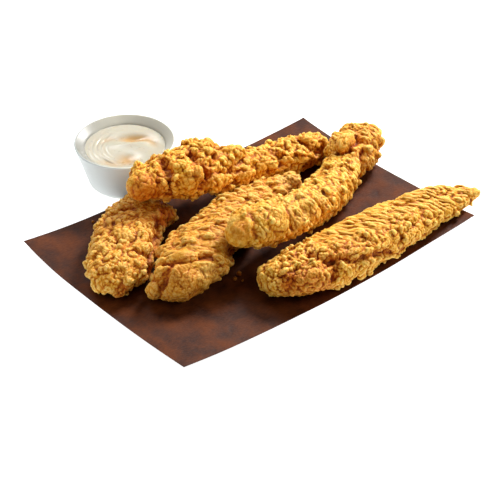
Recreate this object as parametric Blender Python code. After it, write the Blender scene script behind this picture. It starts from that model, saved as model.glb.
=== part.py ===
"""Five fried chicken tenders on a sheet of brown paper, with a small pot of creamy dip.

The middle of the sheet lies on the ground at the origin, with +Z up. +X runs along the sheet's
long side and +Y across it, towards the pot, whose foot laps the sheet's back edge. Two of the
tenders lean on the others: tender_1 on tender_2, and tender_4 on tender_3.
"""

import math
from dataclasses import dataclass

import bmesh
import bpy
import numpy as np
from mathutils import Matrix, Vector, noise
from mathutils.bvhtree import BVHTree

MM = 0.001
GAP = 0.3 * MM

# Sheet of paper
SHEET_LENGTH = 221 * MM
SHEET_WIDTH = 156 * MM
SHEET_THICKNESS = 0.4 * MM
SHEET_CELLS = (20, 14)
WAVE_HEIGHT = 0.8 * MM
WAVE_LENGTH = 90 * MM


@dataclass
class Corner:
    """A corner of the sheet: how far it is cut short of a rectangle, its lift and the curl's reach."""

    side: tuple
    short: tuple
    lift: float
    reach: tuple


CORNERS = (
    Corner(side=(-1, 1), short=(1.0, -1.0), lift=4.5, reach=(80, 42)),
    Corner(side=(-1, -1), short=(4.0, 8.0), lift=5.0, reach=(100, 100)),
    Corner(side=(1, -1), short=(0.5, -0.5), lift=8.0, reach=(120, 115)),
    Corner(side=(1, 1), short=(-0.5, 1.5), lift=2.0, reach=(45, 45)),
)

# Pot and dip
POT_PLACE = (-20 * MM, 97 * MM)
POT_HEIGHT = 29 * MM
POT_RIM_RADIUS = 31.4 * MM
POT_FOOT_RADIUS = 23.4 * MM
POT_WALL = 2.6 * MM
POT_FLOOR = 3.2 * MM
FOOT_RING_WIDTH = 2.4 * MM
FOOT_RECESS = 0.8 * MM
FOOT_RING_SLOPE = 0.8 * MM
FOOT_EDGE = 1.6 * MM
OUTER_CORNER = 4.5 * MM
OUTER_CORNER_ANGLES = (-62, -8)
WALL_START_RADIUS = POT_FOOT_RADIUS + 1.2 * MM
INNER_CORNER = 5.0 * MM
POT_SEGMENTS = 44
CORNER_STEPS = 3
DIP_BELOW_RIM = 5.8 * MM
DIP_RINGS = 8
SWIRL_HEIGHT = 0.45 * MM
SWIRL_PITCH = 12 * MM
SCOOP_PLACE = (4 * MM, 3 * MM)
SCOOP_DEPTH = 2.2 * MM
SCOOP_SIZE = 8 * MM
SCOOP_NARROWING = 1.8

# Tenders
TENDER_SIDES = 26
TENDER_RINGS = 38
END_CROWDING = 0.55
TANGENT_STEP = 0.5 * MM
LEAST_FULLNESS = 0.02
CRAG_SHARPNESS = 1.6
MEAN_CRAG = 0.55
SMALL_CRAG_SHARE = 0.35
CREASE_WANDER = 1.5
CREASE_WANDER_LENGTH = 5
CREASE_REACH_DOWN = 12
CRUST_SMOOTHING = 0.25
CONTACT_GAP = 0.7 * MM
SHEET_GAP = 0.45 * MM
CEILING = 100 * MM
CLEARING_ROUNDS = 5
NEAR = 12 * MM
RAY = Vector((0.21, 0.34, 0.917))
RAY_STEP = 0.001 * MM
MOST_CROSSINGS = 20


@dataclass
class Lobe:
    """A knob or flap of meat and crust that stands out of a tender, as a turned ellipsoid, in mm."""

    place: tuple
    radii: tuple
    turn: float = 0.0


@dataclass
class Crease:
    """A crack across a tender's crust: its place, its direction in plan, its length and depth, in mm."""

    place: tuple
    turn: float
    length: float
    width: float
    depth: float


@dataclass
class Tender:
    """One tender: stations along its middle as (x, y, z, half width, half height), all in mm."""

    stations: tuple
    ends: tuple
    lobes: tuple = ()
    creases: tuple = ()
    lump_size: float = 11.0
    lump_height: float = 1.7
    seed: float = 0.0
    colour: tuple = (0.63, 0.34, 0.09)
    clear_of: tuple = ()


TENDERS = {
    "tender_2": Tender(
        stations=(
            (-99, 1, 7, 9, 6),
            (-92, 11, 10, 16, 9),
            (-82, 20, 11, 19, 10),
            (-69, 33, 11, 20.5, 10.5),
            (-55, 45, 10, 19.5, 10),
            (-40, 54, 9, 15, 8.5),
            (-25, 58, 8, 9, 7),
        ),
        ends=(11, 9),
        lobes=(Lobe((-35, 45, 6), (12, 8, 7.5), turn=-20),),
        lump_size=12,
        lump_height=3.0,
        seed=7.3,
        colour=(0.60, 0.33, 0.09),
        clear_of=("pot",),
    ),
    "tender_3": Tender(
        stations=(
            (53, 17, 6, 6, 5),
            (42, 17, 8, 8, 7.5),
            (25, 17.5, 9, 11, 8.5),
            (4, 12, 11, 15.5, 10.5),
            (-17, 6, 12, 18.5, 11.5),
            (-37, -2, 12.5, 19.5, 12),
            (-53, -9, 12.5, 19, 11.5),
            (-68, -13.5, 11, 17, 10),
            (-81, -12, 8, 10.5, 7),
        ),
        ends=(6, 9),
        lobes=(Lobe((-48, 11, 10.5), (13, 7.5, 8.5), turn=25), Lobe((48, 16, 9), (7, 8, 7))),
        creases=(
            Crease((-58, -10, 20), turn=12, length=46, width=4, depth=3.5),
            Crease((-72, -6, 12), turn=75, length=20, width=3.5, depth=3),
        ),
        lump_size=12,
        lump_height=3.0,
        seed=2.1,
        colour=(0.66, 0.37, 0.12),
        clear_of=("tender_2",),
    ),
    "tender_5": Tender(
        stations=(
            (-31, -40, 8, 8, 6),
            (-20, -50, 10.5, 14, 9.5),
            (-3, -55, 11.5, 17.5, 11),
            (16, -57, 12, 19, 12),
            (39, -56.5, 12.5, 18, 12),
            (63, -56.5, 12, 16.5, 11),
            (87, -58, 11, 14, 9.5),
            (109, -61, 10.5, 10.5, 7),
            (128, -63, 9.5, 5, 3.5),
        ),
        ends=(10, 9),
        creases=(Crease((40, -72, 10), turn=-1, length=110, width=4, depth=2.6),),
        lump_size=11,
        lump_height=2.6,
        seed=11.7,
        colour=(0.68, 0.38, 0.11),
    ),
    "tender_1": Tender(
        stations=(
            (-45, 60, 27.5, 8, 8),
            (-35, 54, 29, 12, 10),
            (-19, 48.5, 28, 16, 11.5),
            (-1, 46.5, 25.5, 17, 12.5),
            (16, 44.5, 20, 14, 11),
            (34, 41.5, 15, 12, 9.5),
            (52, 39.5, 12.5, 13, 10),
            (71, 37.5, 11, 13, 10),
            (87, 37, 9, 9, 8),
            (98, 36, 6, 5, 5),
        ),
        ends=(7, 7),
        lobes=(
            Lobe((-33, 52.5, 28.5), (13, 12, 11), turn=10),
            Lobe((-11, 44, 27.5), (13, 15, 12.5), turn=-30),
            Lobe((3, 56, 27), (15, 9, 13.5), turn=-15),
            Lobe((14, 37, 11), (13, 10, 9), turn=15),
        ),
        creases=(Crease((-23, 46, 36), turn=80, length=34, width=4, depth=3.5),),
        lump_size=12,
        lump_height=3.6,
        seed=4.9,
        colour=(0.62, 0.31, 0.07),
        clear_of=("pot", "tender_2", "tender_3"),
    ),
    "tender_4": Tender(
        stations=(
            (-30, -13, 26, 7, 7),
            (-23, -17, 27, 11.5, 10),
            (-11, -20, 26, 13.5, 11),
            (5, -21, 23, 14, 11),
            (24, -19.5, 19.5, 14, 11),
            (43, -15, 16, 14.5, 11),
            (64, -5, 13, 14, 10.5),
            (84, 6, 12, 12.5, 10.5),
            (101, 15, 12.5, 12, 10.5),
            (116, 25, 14, 8, 8),
        ),
        ends=(7, 8),
        lobes=(
            Lobe((92, 20, 16), (12, 9, 9), turn=20),
            Lobe((110, 19, 17), (10, 12, 8.5), turn=30),
            Lobe((105, 6, 9), (5, 6, 8)),
        ),
        creases=(Crease((92, 12, 22), turn=28, length=24, width=3.5, depth=3.5),),
        lump_size=11,
        lump_height=3.2,
        seed=15.1,
        colour=(0.66, 0.36, 0.11),
        clear_of=("tender_3", "tender_5", "tender_1"),
    ),
}

# Colours of the other pieces
PAPER_COLOUR = (0.15, 0.062, 0.034)
POT_COLOUR = (0.72, 0.75, 0.73)
DIP_COLOUR = (0.80, 0.72, 0.55)


def clear_scene():
    """Removes whatever objects the scene opened with."""
    for item in list(bpy.data.objects):
        bpy.data.objects.remove(item, do_unlink=True)


def material(name, colour, roughness):
    """A plain principled material of this colour and roughness."""
    made = bpy.data.materials.new(name)
    made.use_nodes = True
    shader = made.node_tree.nodes["Principled BSDF"]
    shader.inputs["Base Color"].default_value = (*colour, 1)
    shader.inputs["Roughness"].default_value = roughness
    shader.inputs["Metallic"].default_value = 0.0
    return made


def add_object(name, bm, finish, smooth_angle=None, parent=None):
    """Puts a finished bmesh in the scene as a named object with one material."""
    bmesh.ops.recalc_face_normals(bm, faces=bm.faces)
    mesh = bpy.data.meshes.new(name)
    bm.to_mesh(mesh)
    bm.free()
    mesh.materials.append(finish)
    if smooth_angle is not None:
        mesh.shade_smooth()
        mesh.set_sharp_from_angle(angle=math.radians(smooth_angle))
    made = bpy.data.objects.new(name, mesh)
    made.parent = parent
    bpy.context.scene.collection.objects.link(made)
    return made


def surface_of(bm, place=Matrix()):
    """The surface of a bmesh put in its place, for finding the nearest point on it."""
    bm.transform(place)
    bmesh.ops.triangulate(bm, faces=bm.faces)
    bmesh.ops.recalc_face_normals(bm, faces=bm.faces)
    tree = BVHTree.FromBMesh(bm)
    bm.free()
    return tree


def surface_of_object(made):
    """The surface of an object that stands at the origin."""
    bm = bmesh.new()
    bm.from_mesh(made.data)
    return surface_of(bm)


def sheet_place(u, v):
    """Plan place of the sheet's point at fractions u along it and v across it, each from -1 to 1."""
    place = Vector((u * SHEET_LENGTH / 2, v * SHEET_WIDTH / 2))
    for corner in CORNERS:
        share = (1 + u * corner.side[0]) * (1 + v * corner.side[1]) / 4
        place.x -= share * corner.side[0] * corner.short[0] * MM
        place.y -= share * corner.side[1] * corner.short[1] * MM
    return place


def sheet_height(x, y):
    """Height of the sheet's underside: flat in the middle, curled up at the corners."""
    height = 0.0
    for corner in CORNERS:
        tip = sheet_place(*corner.side)
        away = math.hypot((x - tip.x) / corner.reach[0], (y - tip.y) / corner.reach[1]) / MM
        nearness = max(0.0, 1 - away)
        height += corner.lift * MM * nearness**2
        wave = 0.5 + 0.5 * math.sin(math.tau * (x + 0.6 * y) / WAVE_LENGTH)
        height += WAVE_HEIGHT * wave * nearness
    return height


def build_sheet():
    """The sheet of brown paper: a thin grid with both faces split alike."""
    bm = bmesh.new()
    across_x, across_y = SHEET_CELLS
    bmesh.ops.create_grid(bm, x_segments=across_x, y_segments=across_y, size=1)
    for vertex in bm.verts:
        place = sheet_place(vertex.co.x, vertex.co.y)
        vertex.co = (place.x, place.y, sheet_height(place.x, place.y))
    bmesh.ops.triangulate(bm, faces=bm.faces)
    grown = bmesh.ops.extrude_face_region(bm, geom=list(bm.faces))
    raised = [item for item in grown["geom"] if isinstance(item, bmesh.types.BMVert)]
    bmesh.ops.translate(bm, verts=raised, vec=(0, 0, SHEET_THICKNESS))
    return add_object("paper_sheet", bm, material("brown paper", PAPER_COLOUR, 0.85))


def arc(centre, radius, start, end):
    """Points of a turned profile's round corner, from start to end in degrees."""
    angles = [math.radians(start + (end - start) * k / CORNER_STEPS) for k in range(CORNER_STEPS + 1)]
    return [(centre[0] + radius * math.cos(a), centre[1] + radius * math.sin(a)) for a in angles]


def inner_radius(height):
    """Radius of the pot's inside at a height above its foot."""
    share = (height - OUTER_CORNER) / (POT_HEIGHT - OUTER_CORNER)
    return WALL_START_RADIUS + (POT_RIM_RADIUS - WALL_START_RADIUS) * share - POT_WALL


def outer_corner():
    """The round corner between the pot's foot and its wall."""
    return arc((WALL_START_RADIUS - OUTER_CORNER, OUTER_CORNER), OUTER_CORNER, *OUTER_CORNER_ANGLES)


def pot_guard(stand):
    """The pot's outside closed over its mouth, so that what leans on the pot stays out of it."""
    outline = [(0, 0)] + outer_corner() + [(POT_RIM_RADIUS, POT_HEIGHT), (0, POT_HEIGHT)]
    return surface_of(spun(outline), stand.matrix_world)


def pot_profile():
    """The pot's half section, from the middle of its underside round to the middle of its inside."""
    ring = POT_FOOT_RADIUS - FOOT_RING_WIDTH
    lip = POT_WALL / 2
    base = POT_FLOOR + INNER_CORNER
    underside = [
        (0, FOOT_RECESS),
        (ring - FOOT_RING_SLOPE, FOOT_RECESS),
        (ring, 0),
        (POT_FOOT_RADIUS - FOOT_EDGE, 0),
    ]
    rim = arc((POT_RIM_RADIUS - lip, POT_HEIGHT - lip), lip, 0, 180)
    inner = arc((inner_radius(base) - INNER_CORNER, base), INNER_CORNER, 0, -90)
    return underside + outer_corner() + rim + inner + [(0, POT_FLOOR)]


def spun(profile):
    """A profile of radius and height turned into a closed solid about Z."""
    bm = bmesh.new()
    points = [bm.verts.new((radius, 0, height)) for radius, height in profile]
    edges = [bm.edges.new(pair) for pair in zip(points, points[1:])]
    bmesh.ops.spin(
        bm,
        geom=points + edges,
        cent=(0, 0, 0),
        axis=(0, 0, 1),
        angle=math.tau,
        steps=POT_SEGMENTS,
        use_merge=True,
    )
    bmesh.ops.remove_doubles(bm, verts=bm.verts, dist=0.01 * MM)
    return bm


def pot_stand():
    """The empty that carries pot and dip, leaned a little because the foot's front is on the sheet."""
    step = SHEET_THICKNESS + GAP
    lean = math.asin(step / (2 * POT_FOOT_RADIUS))
    stand = bpy.data.objects.new("pot_stand", None)
    stand.location = (*POT_PLACE, step / 2)
    stand.rotation_euler = (-lean, 0, 0)
    bpy.context.scene.collection.objects.link(stand)
    return stand


def swirl(x, y, radius):
    """Height of the dip's stirred surface over its level: one spiral fold and a spoon's scoop."""
    turned = math.hypot(x, y) / SWIRL_PITCH - math.atan2(y, x) / math.tau
    calm = 1 - (math.hypot(x, y) / radius) ** 4
    across = SCOOP_NARROWING * (y - SCOOP_PLACE[1])
    scoop = math.exp(-((x - SCOOP_PLACE[0]) ** 2 + across**2) / SCOOP_SIZE**2)
    return calm * (SWIRL_HEIGHT * (math.cos(math.tau * turned) - 1) - SCOOP_DEPTH * scoop)


def build_pot(stand):
    """The glazed white pot, turned in one piece."""
    bm = spun(pot_profile())
    return add_object("sauce_pot", bm, material("white glaze", POT_COLOUR, 0.15), 40, stand)


def build_dip(stand):
    """The dip, solid from the pot's floor up to its level, with its stirred top."""
    level = POT_HEIGHT - DIP_BELOW_RIM
    radius = inner_radius(level) - GAP
    base = POT_FLOOR + INNER_CORNER
    corner = arc((inner_radius(base) - INNER_CORNER, base), INNER_CORNER - GAP, -90, 0)
    top = [(radius * (1 - k / DIP_RINGS), level) for k in range(DIP_RINGS + 1)]
    bm = spun([(0, POT_FLOOR + GAP)] + corner + top)
    for vertex in bm.verts:
        if vertex.co.z > level - GAP:
            vertex.co.z += swirl(vertex.co.x, vertex.co.y, radius)
    return add_object("dip", bm, material("creamy dip", DIP_COLOUR, 0.35), 60, stand)


def run_through(knots, rows, where):
    """Value at a place along a smooth run through rows of numbers set at the given knots."""
    last = len(knots) - 1
    k = int(np.clip(np.searchsorted(knots, where) - 1, 0, last - 1))
    span = knots[k + 1] - knots[k]
    t = (where - knots[k]) / span
    before, after = max(k - 1, 0), min(k + 2, last)
    slope_a = (rows[k + 1] - rows[before]) / (knots[k + 1] - knots[before]) * span
    slope_b = (rows[after] - rows[k]) / (knots[after] - knots[k]) * span
    return (
        (2 * t**3 - 3 * t**2 + 1) * rows[k]
        + (t**3 - 2 * t**2 + t) * slope_a
        + (3 * t**2 - 2 * t**3) * rows[k + 1]
        + (t**3 - t**2) * slope_b
    )


def rounding(distance, reach):
    """Share of the full width at a distance from a tender's round end."""
    return math.sqrt(max(0.0, 1 - max(0.0, 1 - distance / reach) ** 2))


def reach_of_lobe(lobe, start, direction):
    """How far a ray from start runs until it leaves the lobe, or 0 if it misses."""
    turned = Matrix.Rotation(math.radians(lobe.turn), 3, "Z")
    size = Vector(lobe.radii) * MM
    inward = turned.transposed()
    near = inward @ (start - Vector(lobe.place) * MM)
    along = inward @ direction
    near = Vector(n / s for n, s in zip(near, size))
    along = Vector(n / s for n, s in zip(along, size))
    a, b, c = along.dot(along), near.dot(along), near.dot(near) - 1
    inside_root = b * b - a * c
    return max(0.0, (-b + math.sqrt(inside_root)) / a) if inside_root > 0 else 0.0


def lump(place, size, seed):
    """One crag of crust: 0 in the crack round it, up to 1 on its middle."""
    near, _ = noise.voronoi(place / (size * MM) + Vector((seed, 2 * seed, 3 * seed)))
    return min(1.0, CRAG_SHARPNESS * (near[1] - near[0]))


def crease_depth(crease, place):
    """How deep a crack cuts at this place, in mm."""
    away = place / MM - Vector(crease.place)
    turn = math.radians(crease.turn)
    along = away.x * math.cos(turn) + away.y * math.sin(turn)
    across = away.y * math.cos(turn) - away.x * math.sin(turn)
    wander = CREASE_WANDER * math.sin(along / CREASE_WANDER_LENGTH)
    ends = max(0.0, 1 - (2 * along / crease.length) ** 2)
    section = math.exp(-(((across - wander) / crease.width) ** 2) - (away.z / CREASE_REACH_DOWN) ** 2)
    return crease.depth * ends * section


def lay_out_body(bm, tender):
    """Draws a ball out along the tender's stations, and out to its lobes."""
    rows = np.array(tender.stations, float) * MM
    knots = np.concatenate([[0], np.cumsum(np.linalg.norm(np.diff(rows[:, :3], axis=0), axis=1))])
    length = knots[-1]
    for vertex in bm.verts:
        even = math.acos(np.clip(vertex.co.z, -1, 1)) / math.pi
        share = even - END_CROWDING * math.sin(math.tau * even) / math.tau
        where = share * length
        row = run_through(knots, rows, where)
        middle = Vector(row[:3])
        ahead = Vector(run_through(knots, rows, min(where + TANGENT_STEP, length))[:3])
        behind = Vector(run_through(knots, rows, max(where - TANGENT_STEP, 0))[:3])
        tangent = (ahead - behind).normalized()
        side = Vector((0, 0, 1)).cross(tangent).normalized()
        upward = tangent.cross(side)
        angle = math.atan2(vertex.co.y, vertex.co.x)
        fullness = rounding(where, tender.ends[0] * MM) * rounding(length - where, tender.ends[1] * MM)
        ray = side * row[3] * math.cos(angle) + upward * row[4] * math.sin(angle)
        radius = ray.length * fullness
        direction = ray.normalized()
        if fullness > LEAST_FULLNESS:
            radius = max([radius] + [reach_of_lobe(lobe, middle, direction) for lobe in tender.lobes])
        vertex.co = middle + direction * radius


def raise_crust(bm, tender):
    """Pushes the crust's crags out and its cracks in, along the surface's own direction."""
    bm.normal_update()
    moves = []
    for vertex in bm.verts:
        crag = lump(vertex.co, tender.lump_size, tender.seed) - MEAN_CRAG
        crag += SMALL_CRAG_SHARE * (lump(vertex.co, tender.lump_size / 2, tender.seed + 5) - MEAN_CRAG)
        cracks = sum(crease_depth(crease, vertex.co) for crease in tender.creases)
        moves.append(vertex.normal * (tender.lump_height * crag - cracks) * MM)
    for vertex, move in zip(bm.verts, moves):
        vertex.co += move
    bmesh.ops.smooth_vert(
        bm, verts=bm.verts, factor=CRUST_SMOOTHING, use_axis_x=True, use_axis_y=True, use_axis_z=True
    )


def is_inside(surface, point):
    """True where a ray from the point leaves a closed surface an odd number of times."""
    crossings = 0
    start = point
    while crossings < MOST_CROSSINGS:
        spot = surface.ray_cast(start, RAY)[0]
        if spot is None:
            break
        crossings += 1
        start = spot + RAY * RAY_STEP
    return crossings % 2 == 1


def press_off(corners, surface):
    """Moves the corners of a vertex, edge or face off a neighbour, if their middle is too near it."""
    middle = sum((corner.co for corner in corners), Vector()) / len(corners)
    spot, _, _, distance = surface.find_nearest(middle)
    if distance > NEAR:
        return
    within = is_inside(surface, middle)
    if within or distance < CONTACT_GAP:
        outward = (spot - middle if within else middle - spot).normalized()
        for corner in corners:
            corner.co += spot + outward * CONTACT_GAP - middle


def keep_clear(bm, sheet, surfaces):
    """Presses a tender's crust off the sheet and off what it touches, leaving a small gap."""
    down = Vector((0, 0, -1))
    for _ in range(CLEARING_ROUNDS):
        for surface in surfaces:
            for vertex in bm.verts:
                press_off([vertex], surface)
            for item in list(bm.edges) + list(bm.faces):
                press_off(item.verts, surface)
        for vertex in bm.verts:
            above = Vector((vertex.co.x, vertex.co.y, CEILING))
            facet = sheet.ray_cast(above, down)[0] or Vector((0, 0, 0))
            floor = max(facet.z, sheet_height(above.x, above.y) + SHEET_THICKNESS)
            vertex.co.z = max(vertex.co.z, floor + SHEET_GAP)


def build_tender(name, tender, sheet, surfaces):
    """One tender, its crust relief and lobes in one closed solid."""
    bm = bmesh.new()
    bmesh.ops.create_uvsphere(bm, u_segments=TENDER_SIDES, v_segments=TENDER_RINGS, radius=1)
    lay_out_body(bm, tender)
    raise_crust(bm, tender)
    keep_clear(bm, sheet, surfaces)
    bmesh.ops.triangulate(bm, faces=bm.faces)
    return add_object(name, bm, material(name + " crust", tender.colour, 0.8))


def main():
    """Builds the sheet, the pot with its dip, and the tenders from the lowest to the highest."""
    clear_scene()
    sheet = surface_of_object(build_sheet())
    stand = pot_stand()
    build_pot(stand)
    build_dip(stand)
    bpy.context.view_layer.update()
    surfaces = {"pot": pot_guard(stand)}
    for name, tender in TENDERS.items():
        made = build_tender(name, tender, sheet, [surfaces[other] for other in tender.clear_of])
        surfaces[name] = surface_of_object(made)


if __name__ == "__main__":
    main()
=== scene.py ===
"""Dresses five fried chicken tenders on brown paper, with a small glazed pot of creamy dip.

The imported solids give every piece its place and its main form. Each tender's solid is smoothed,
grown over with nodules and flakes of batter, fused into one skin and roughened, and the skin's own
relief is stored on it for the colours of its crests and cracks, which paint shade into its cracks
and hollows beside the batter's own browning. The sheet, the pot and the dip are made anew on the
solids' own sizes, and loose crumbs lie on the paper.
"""

import itertools
import logging
import math
import time
from collections.abc import Callable
from collections.abc import Iterator
from dataclasses import dataclass
from enum import Enum
from enum import IntEnum

import bmesh
import bpy
import numpy as np
from mathutils import Matrix
from mathutils import Vector

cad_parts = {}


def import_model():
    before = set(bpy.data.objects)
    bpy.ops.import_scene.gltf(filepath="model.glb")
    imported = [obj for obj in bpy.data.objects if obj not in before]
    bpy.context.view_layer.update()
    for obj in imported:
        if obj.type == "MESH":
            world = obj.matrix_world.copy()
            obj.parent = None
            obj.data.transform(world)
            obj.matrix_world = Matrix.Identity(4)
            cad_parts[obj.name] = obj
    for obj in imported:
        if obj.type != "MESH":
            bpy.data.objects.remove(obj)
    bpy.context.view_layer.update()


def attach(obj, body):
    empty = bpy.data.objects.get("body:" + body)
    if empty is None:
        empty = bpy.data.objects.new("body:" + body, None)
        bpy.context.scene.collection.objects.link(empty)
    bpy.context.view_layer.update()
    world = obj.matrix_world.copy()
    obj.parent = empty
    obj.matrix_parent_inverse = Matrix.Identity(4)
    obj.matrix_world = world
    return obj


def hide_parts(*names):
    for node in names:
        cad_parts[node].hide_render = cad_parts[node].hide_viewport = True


LOG = logging.getLogger("tenders")
MM = 0.001
BODY = "root"
WHITE = (1.0, 1.0, 1.0, 1.0)
WARM = (1.0, 0.99, 0.97)
FOOD = (-8.3 * MM, -8.8 * MM, 0.0)
POT_MIDDLE = (-20 * MM, 97 * MM, 15 * MM)

# Whole numbers that scramble a cell and a seed into random shares
CELL_FACTORS = (73856093, 19349663, 83492791)
SEED_FACTOR = 2654435761
SCRAMBLES = ((15, 2246822519), (13, 3266489917))
REDRAW = 7.31

# Forms of the random fields, and how much depth counts beside distance along a skin
PILLOW_ROUNDNESS = 0.75
FOLD_STEEPNESS = 2.6
DEPTH_SHARE = 0.3

Pair = tuple[float, float]
Triple = tuple[float, float, float]
Colour = tuple[float, float, float, float]
Array = np.ndarray
Easing = Callable[[Array], Array]
Mesh = bpy.types.Mesh
Object = bpy.types.Object
Material = bpy.types.Material
Socket = bpy.types.NodeSocket
Value = Socket | float | tuple


def linear(red: float, green: float, blue: float) -> Colour:
    """Turns a colour as seen on a screen into the shader's own scale.

    Args:
        red: Red from 0 to 255.
        green: Green from 0 to 255.
        blue: Blue from 0 to 255.

    Returns:
        The colour with an alpha of 1.
    """
    shares = [value / 255 for value in (red, green, blue)]
    opened = [s / 12.92 if s <= 0.04045 else ((s + 0.055) / 1.055) ** 2.4 for s in shares]
    return (opened[0], opened[1], opened[2], 1.0)


def eased(share: Array) -> Array:
    """Eases shares from 0 to 1 in and out."""
    return share * share * (3 - 2 * share)


def eased_softly(share: Array) -> Array:
    """Eases shares from 0 to 1 in and out, with no jump in how they bend."""
    return share**3 * (share * (share * 6 - 15) + 10)


def cell_randoms(cells: Array, seed: int) -> Array:
    """Draws three random shares for each whole-number cell, always the same for a cell and seed.

    Args:
        cells: Cells, as rows of three whole numbers.
        seed: Which draw.

    Returns:
        Rows of three shares from 0 to 1.
    """
    keys = cells.astype(np.int64).astype(np.uint32)
    mixed = np.full(keys.shape[:-1], seed * SEED_FACTOR % 2**32, dtype=np.uint32)
    for column, factor in enumerate(CELL_FACTORS):
        mixed ^= keys[..., column] * np.uint32(factor)
    shares = []
    for _ in range(3):
        for shift, factor in SCRAMBLES:
            mixed = (mixed ^ (mixed >> np.uint32(shift))) * np.uint32(factor)
        mixed ^= mixed >> np.uint32(16)
        shares.append(mixed / 2.0**32)
    return np.stack(shares, -1)


def grid_corners(points: Array, size: float, seed: int, ease: Easing) -> Iterator[tuple[Array, ...]]:
    """Goes round the eight corners of the grid cell that each place is in.

    Args:
        points: Places in metres.
        size: Width of a cell in metres.
        seed: Which draw.
        ease: How the corners' weights fade into one another.

    Returns:
        For each corner, its weight at the places, the way to them and its three random shares.
    """
    grid = points / size
    home = np.floor(grid)
    share = grid - home
    near = ease(share)
    for corner in itertools.product((0, 1), repeat=3):
        step = np.array(corner)
        weight = np.prod(np.where(step == 1, near, 1 - near), axis=1)
        yield weight, share - step, cell_randoms(home + step, seed)


def cloudy(points: Array, size: float, seed: int) -> Array:
    """Smooth random fields, three at once.

    Args:
        points: Places in metres.
        size: Distance in metres over which a field changes.
        seed: Which draw.

    Returns:
        Rows of three values from -1 to 1.
    """
    total = np.zeros((len(points), 3))
    for weight, _, draw in grid_corners(points, size, seed, eased):
        total += weight[:, None] * draw
    return 2 * total - 1


def billows(points: Array, size: float, seed: int) -> Array:
    """A field of round folds that meet in winding cracks.

    Args:
        points: Places in metres.
        size: A fold's usual width in metres.
        seed: Which draw.

    Returns:
        The share of the way up a fold, from 0 in the cracks to 1 on its crest.
    """
    total = np.zeros(len(points))
    for weight, way, draw in grid_corners(points, size, seed, eased_softly):
        total += weight * np.einsum("ij,ij->i", 2 * draw - 1, way)
    rise = np.clip(FOLD_STEEPNESS * np.abs(total), 0, 1)
    return 1 - (1 - rise) ** 2


def pillows(points: Array, size: float, seed: int) -> tuple[Array, Array]:
    """A field of round pillows packed against one another.

    Args:
        points: Places in metres.
        size: A pillow's usual width in metres.
        seed: Which draw.

    Returns:
        The share of the way up a pillow, from 0 in the cracks to 1 on its middle, and a random
        share for the pillow that each place is on.
    """
    grid = points / size
    home = np.floor(grid)
    near = np.full(len(points), 9.0)
    second = near.copy()
    own = np.zeros(len(points))
    for offset in itertools.product((-1, 0, 1), repeat=3):
        cell = home + np.array(offset)
        draw = cell_randoms(cell, seed)
        gap = cell + draw - grid
        away = np.einsum("ij,ij->i", gap, gap)
        closer = away < near
        second = np.where(closer, near, np.minimum(second, away))
        own = np.where(closer, draw[:, 0] * REDRAW % 1.0, own)
        near = np.where(closer, away, near)
    return np.clip(1 - near / second, 0, 1) ** PILLOW_ROUNDNESS, own


def off_line(points: Array, normals: Array, line: tuple[Triple, ...]) -> Array:
    """Distances from places on a skin to a line that runs along it, at whatever depth.

    Args:
        points: Places in metres.
        normals: The skin's outward directions there.
        line: The line's places in mm.

    Returns:
        Distances in metres.
    """
    nearest = np.full(len(points), 1.0)
    for start, end in zip(line, line[1:]):
        first = np.array(start) * MM
        stretch = np.array(end) * MM - first
        share = np.clip((points - first) @ stretch / (stretch @ stretch), 0, 1)
        gap = points - first - share[:, None] * stretch
        depth = np.einsum("ij,ij->i", gap, normals)
        flat = np.linalg.norm(gap - depth[:, None] * normals, axis=1)
        nearest = np.minimum(nearest, np.hypot(flat, DEPTH_SHARE * depth))
    return nearest


def blurred(values: Array, edges: Array, rounds: int) -> Array:
    """Averages values on a mesh with their neighbours along its edges.

    Args:
        values: One row for each vertex.
        edges: Pairs of vertex numbers.
        rounds: How often to average.

    Returns:
        The averaged rows.
    """
    count = len(values)
    first, last = edges[:, 0], edges[:, 1]
    shared = np.bincount(edges.ravel(), minlength=count)[:, None]
    for _ in range(rounds):
        columns = [
            np.bincount(first, column[last], count) + np.bincount(last, column[first], count)
            for column in values.T
        ]
        values = 0.5 * values + 0.5 * np.stack(columns, axis=1) / shared
    return values


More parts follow.
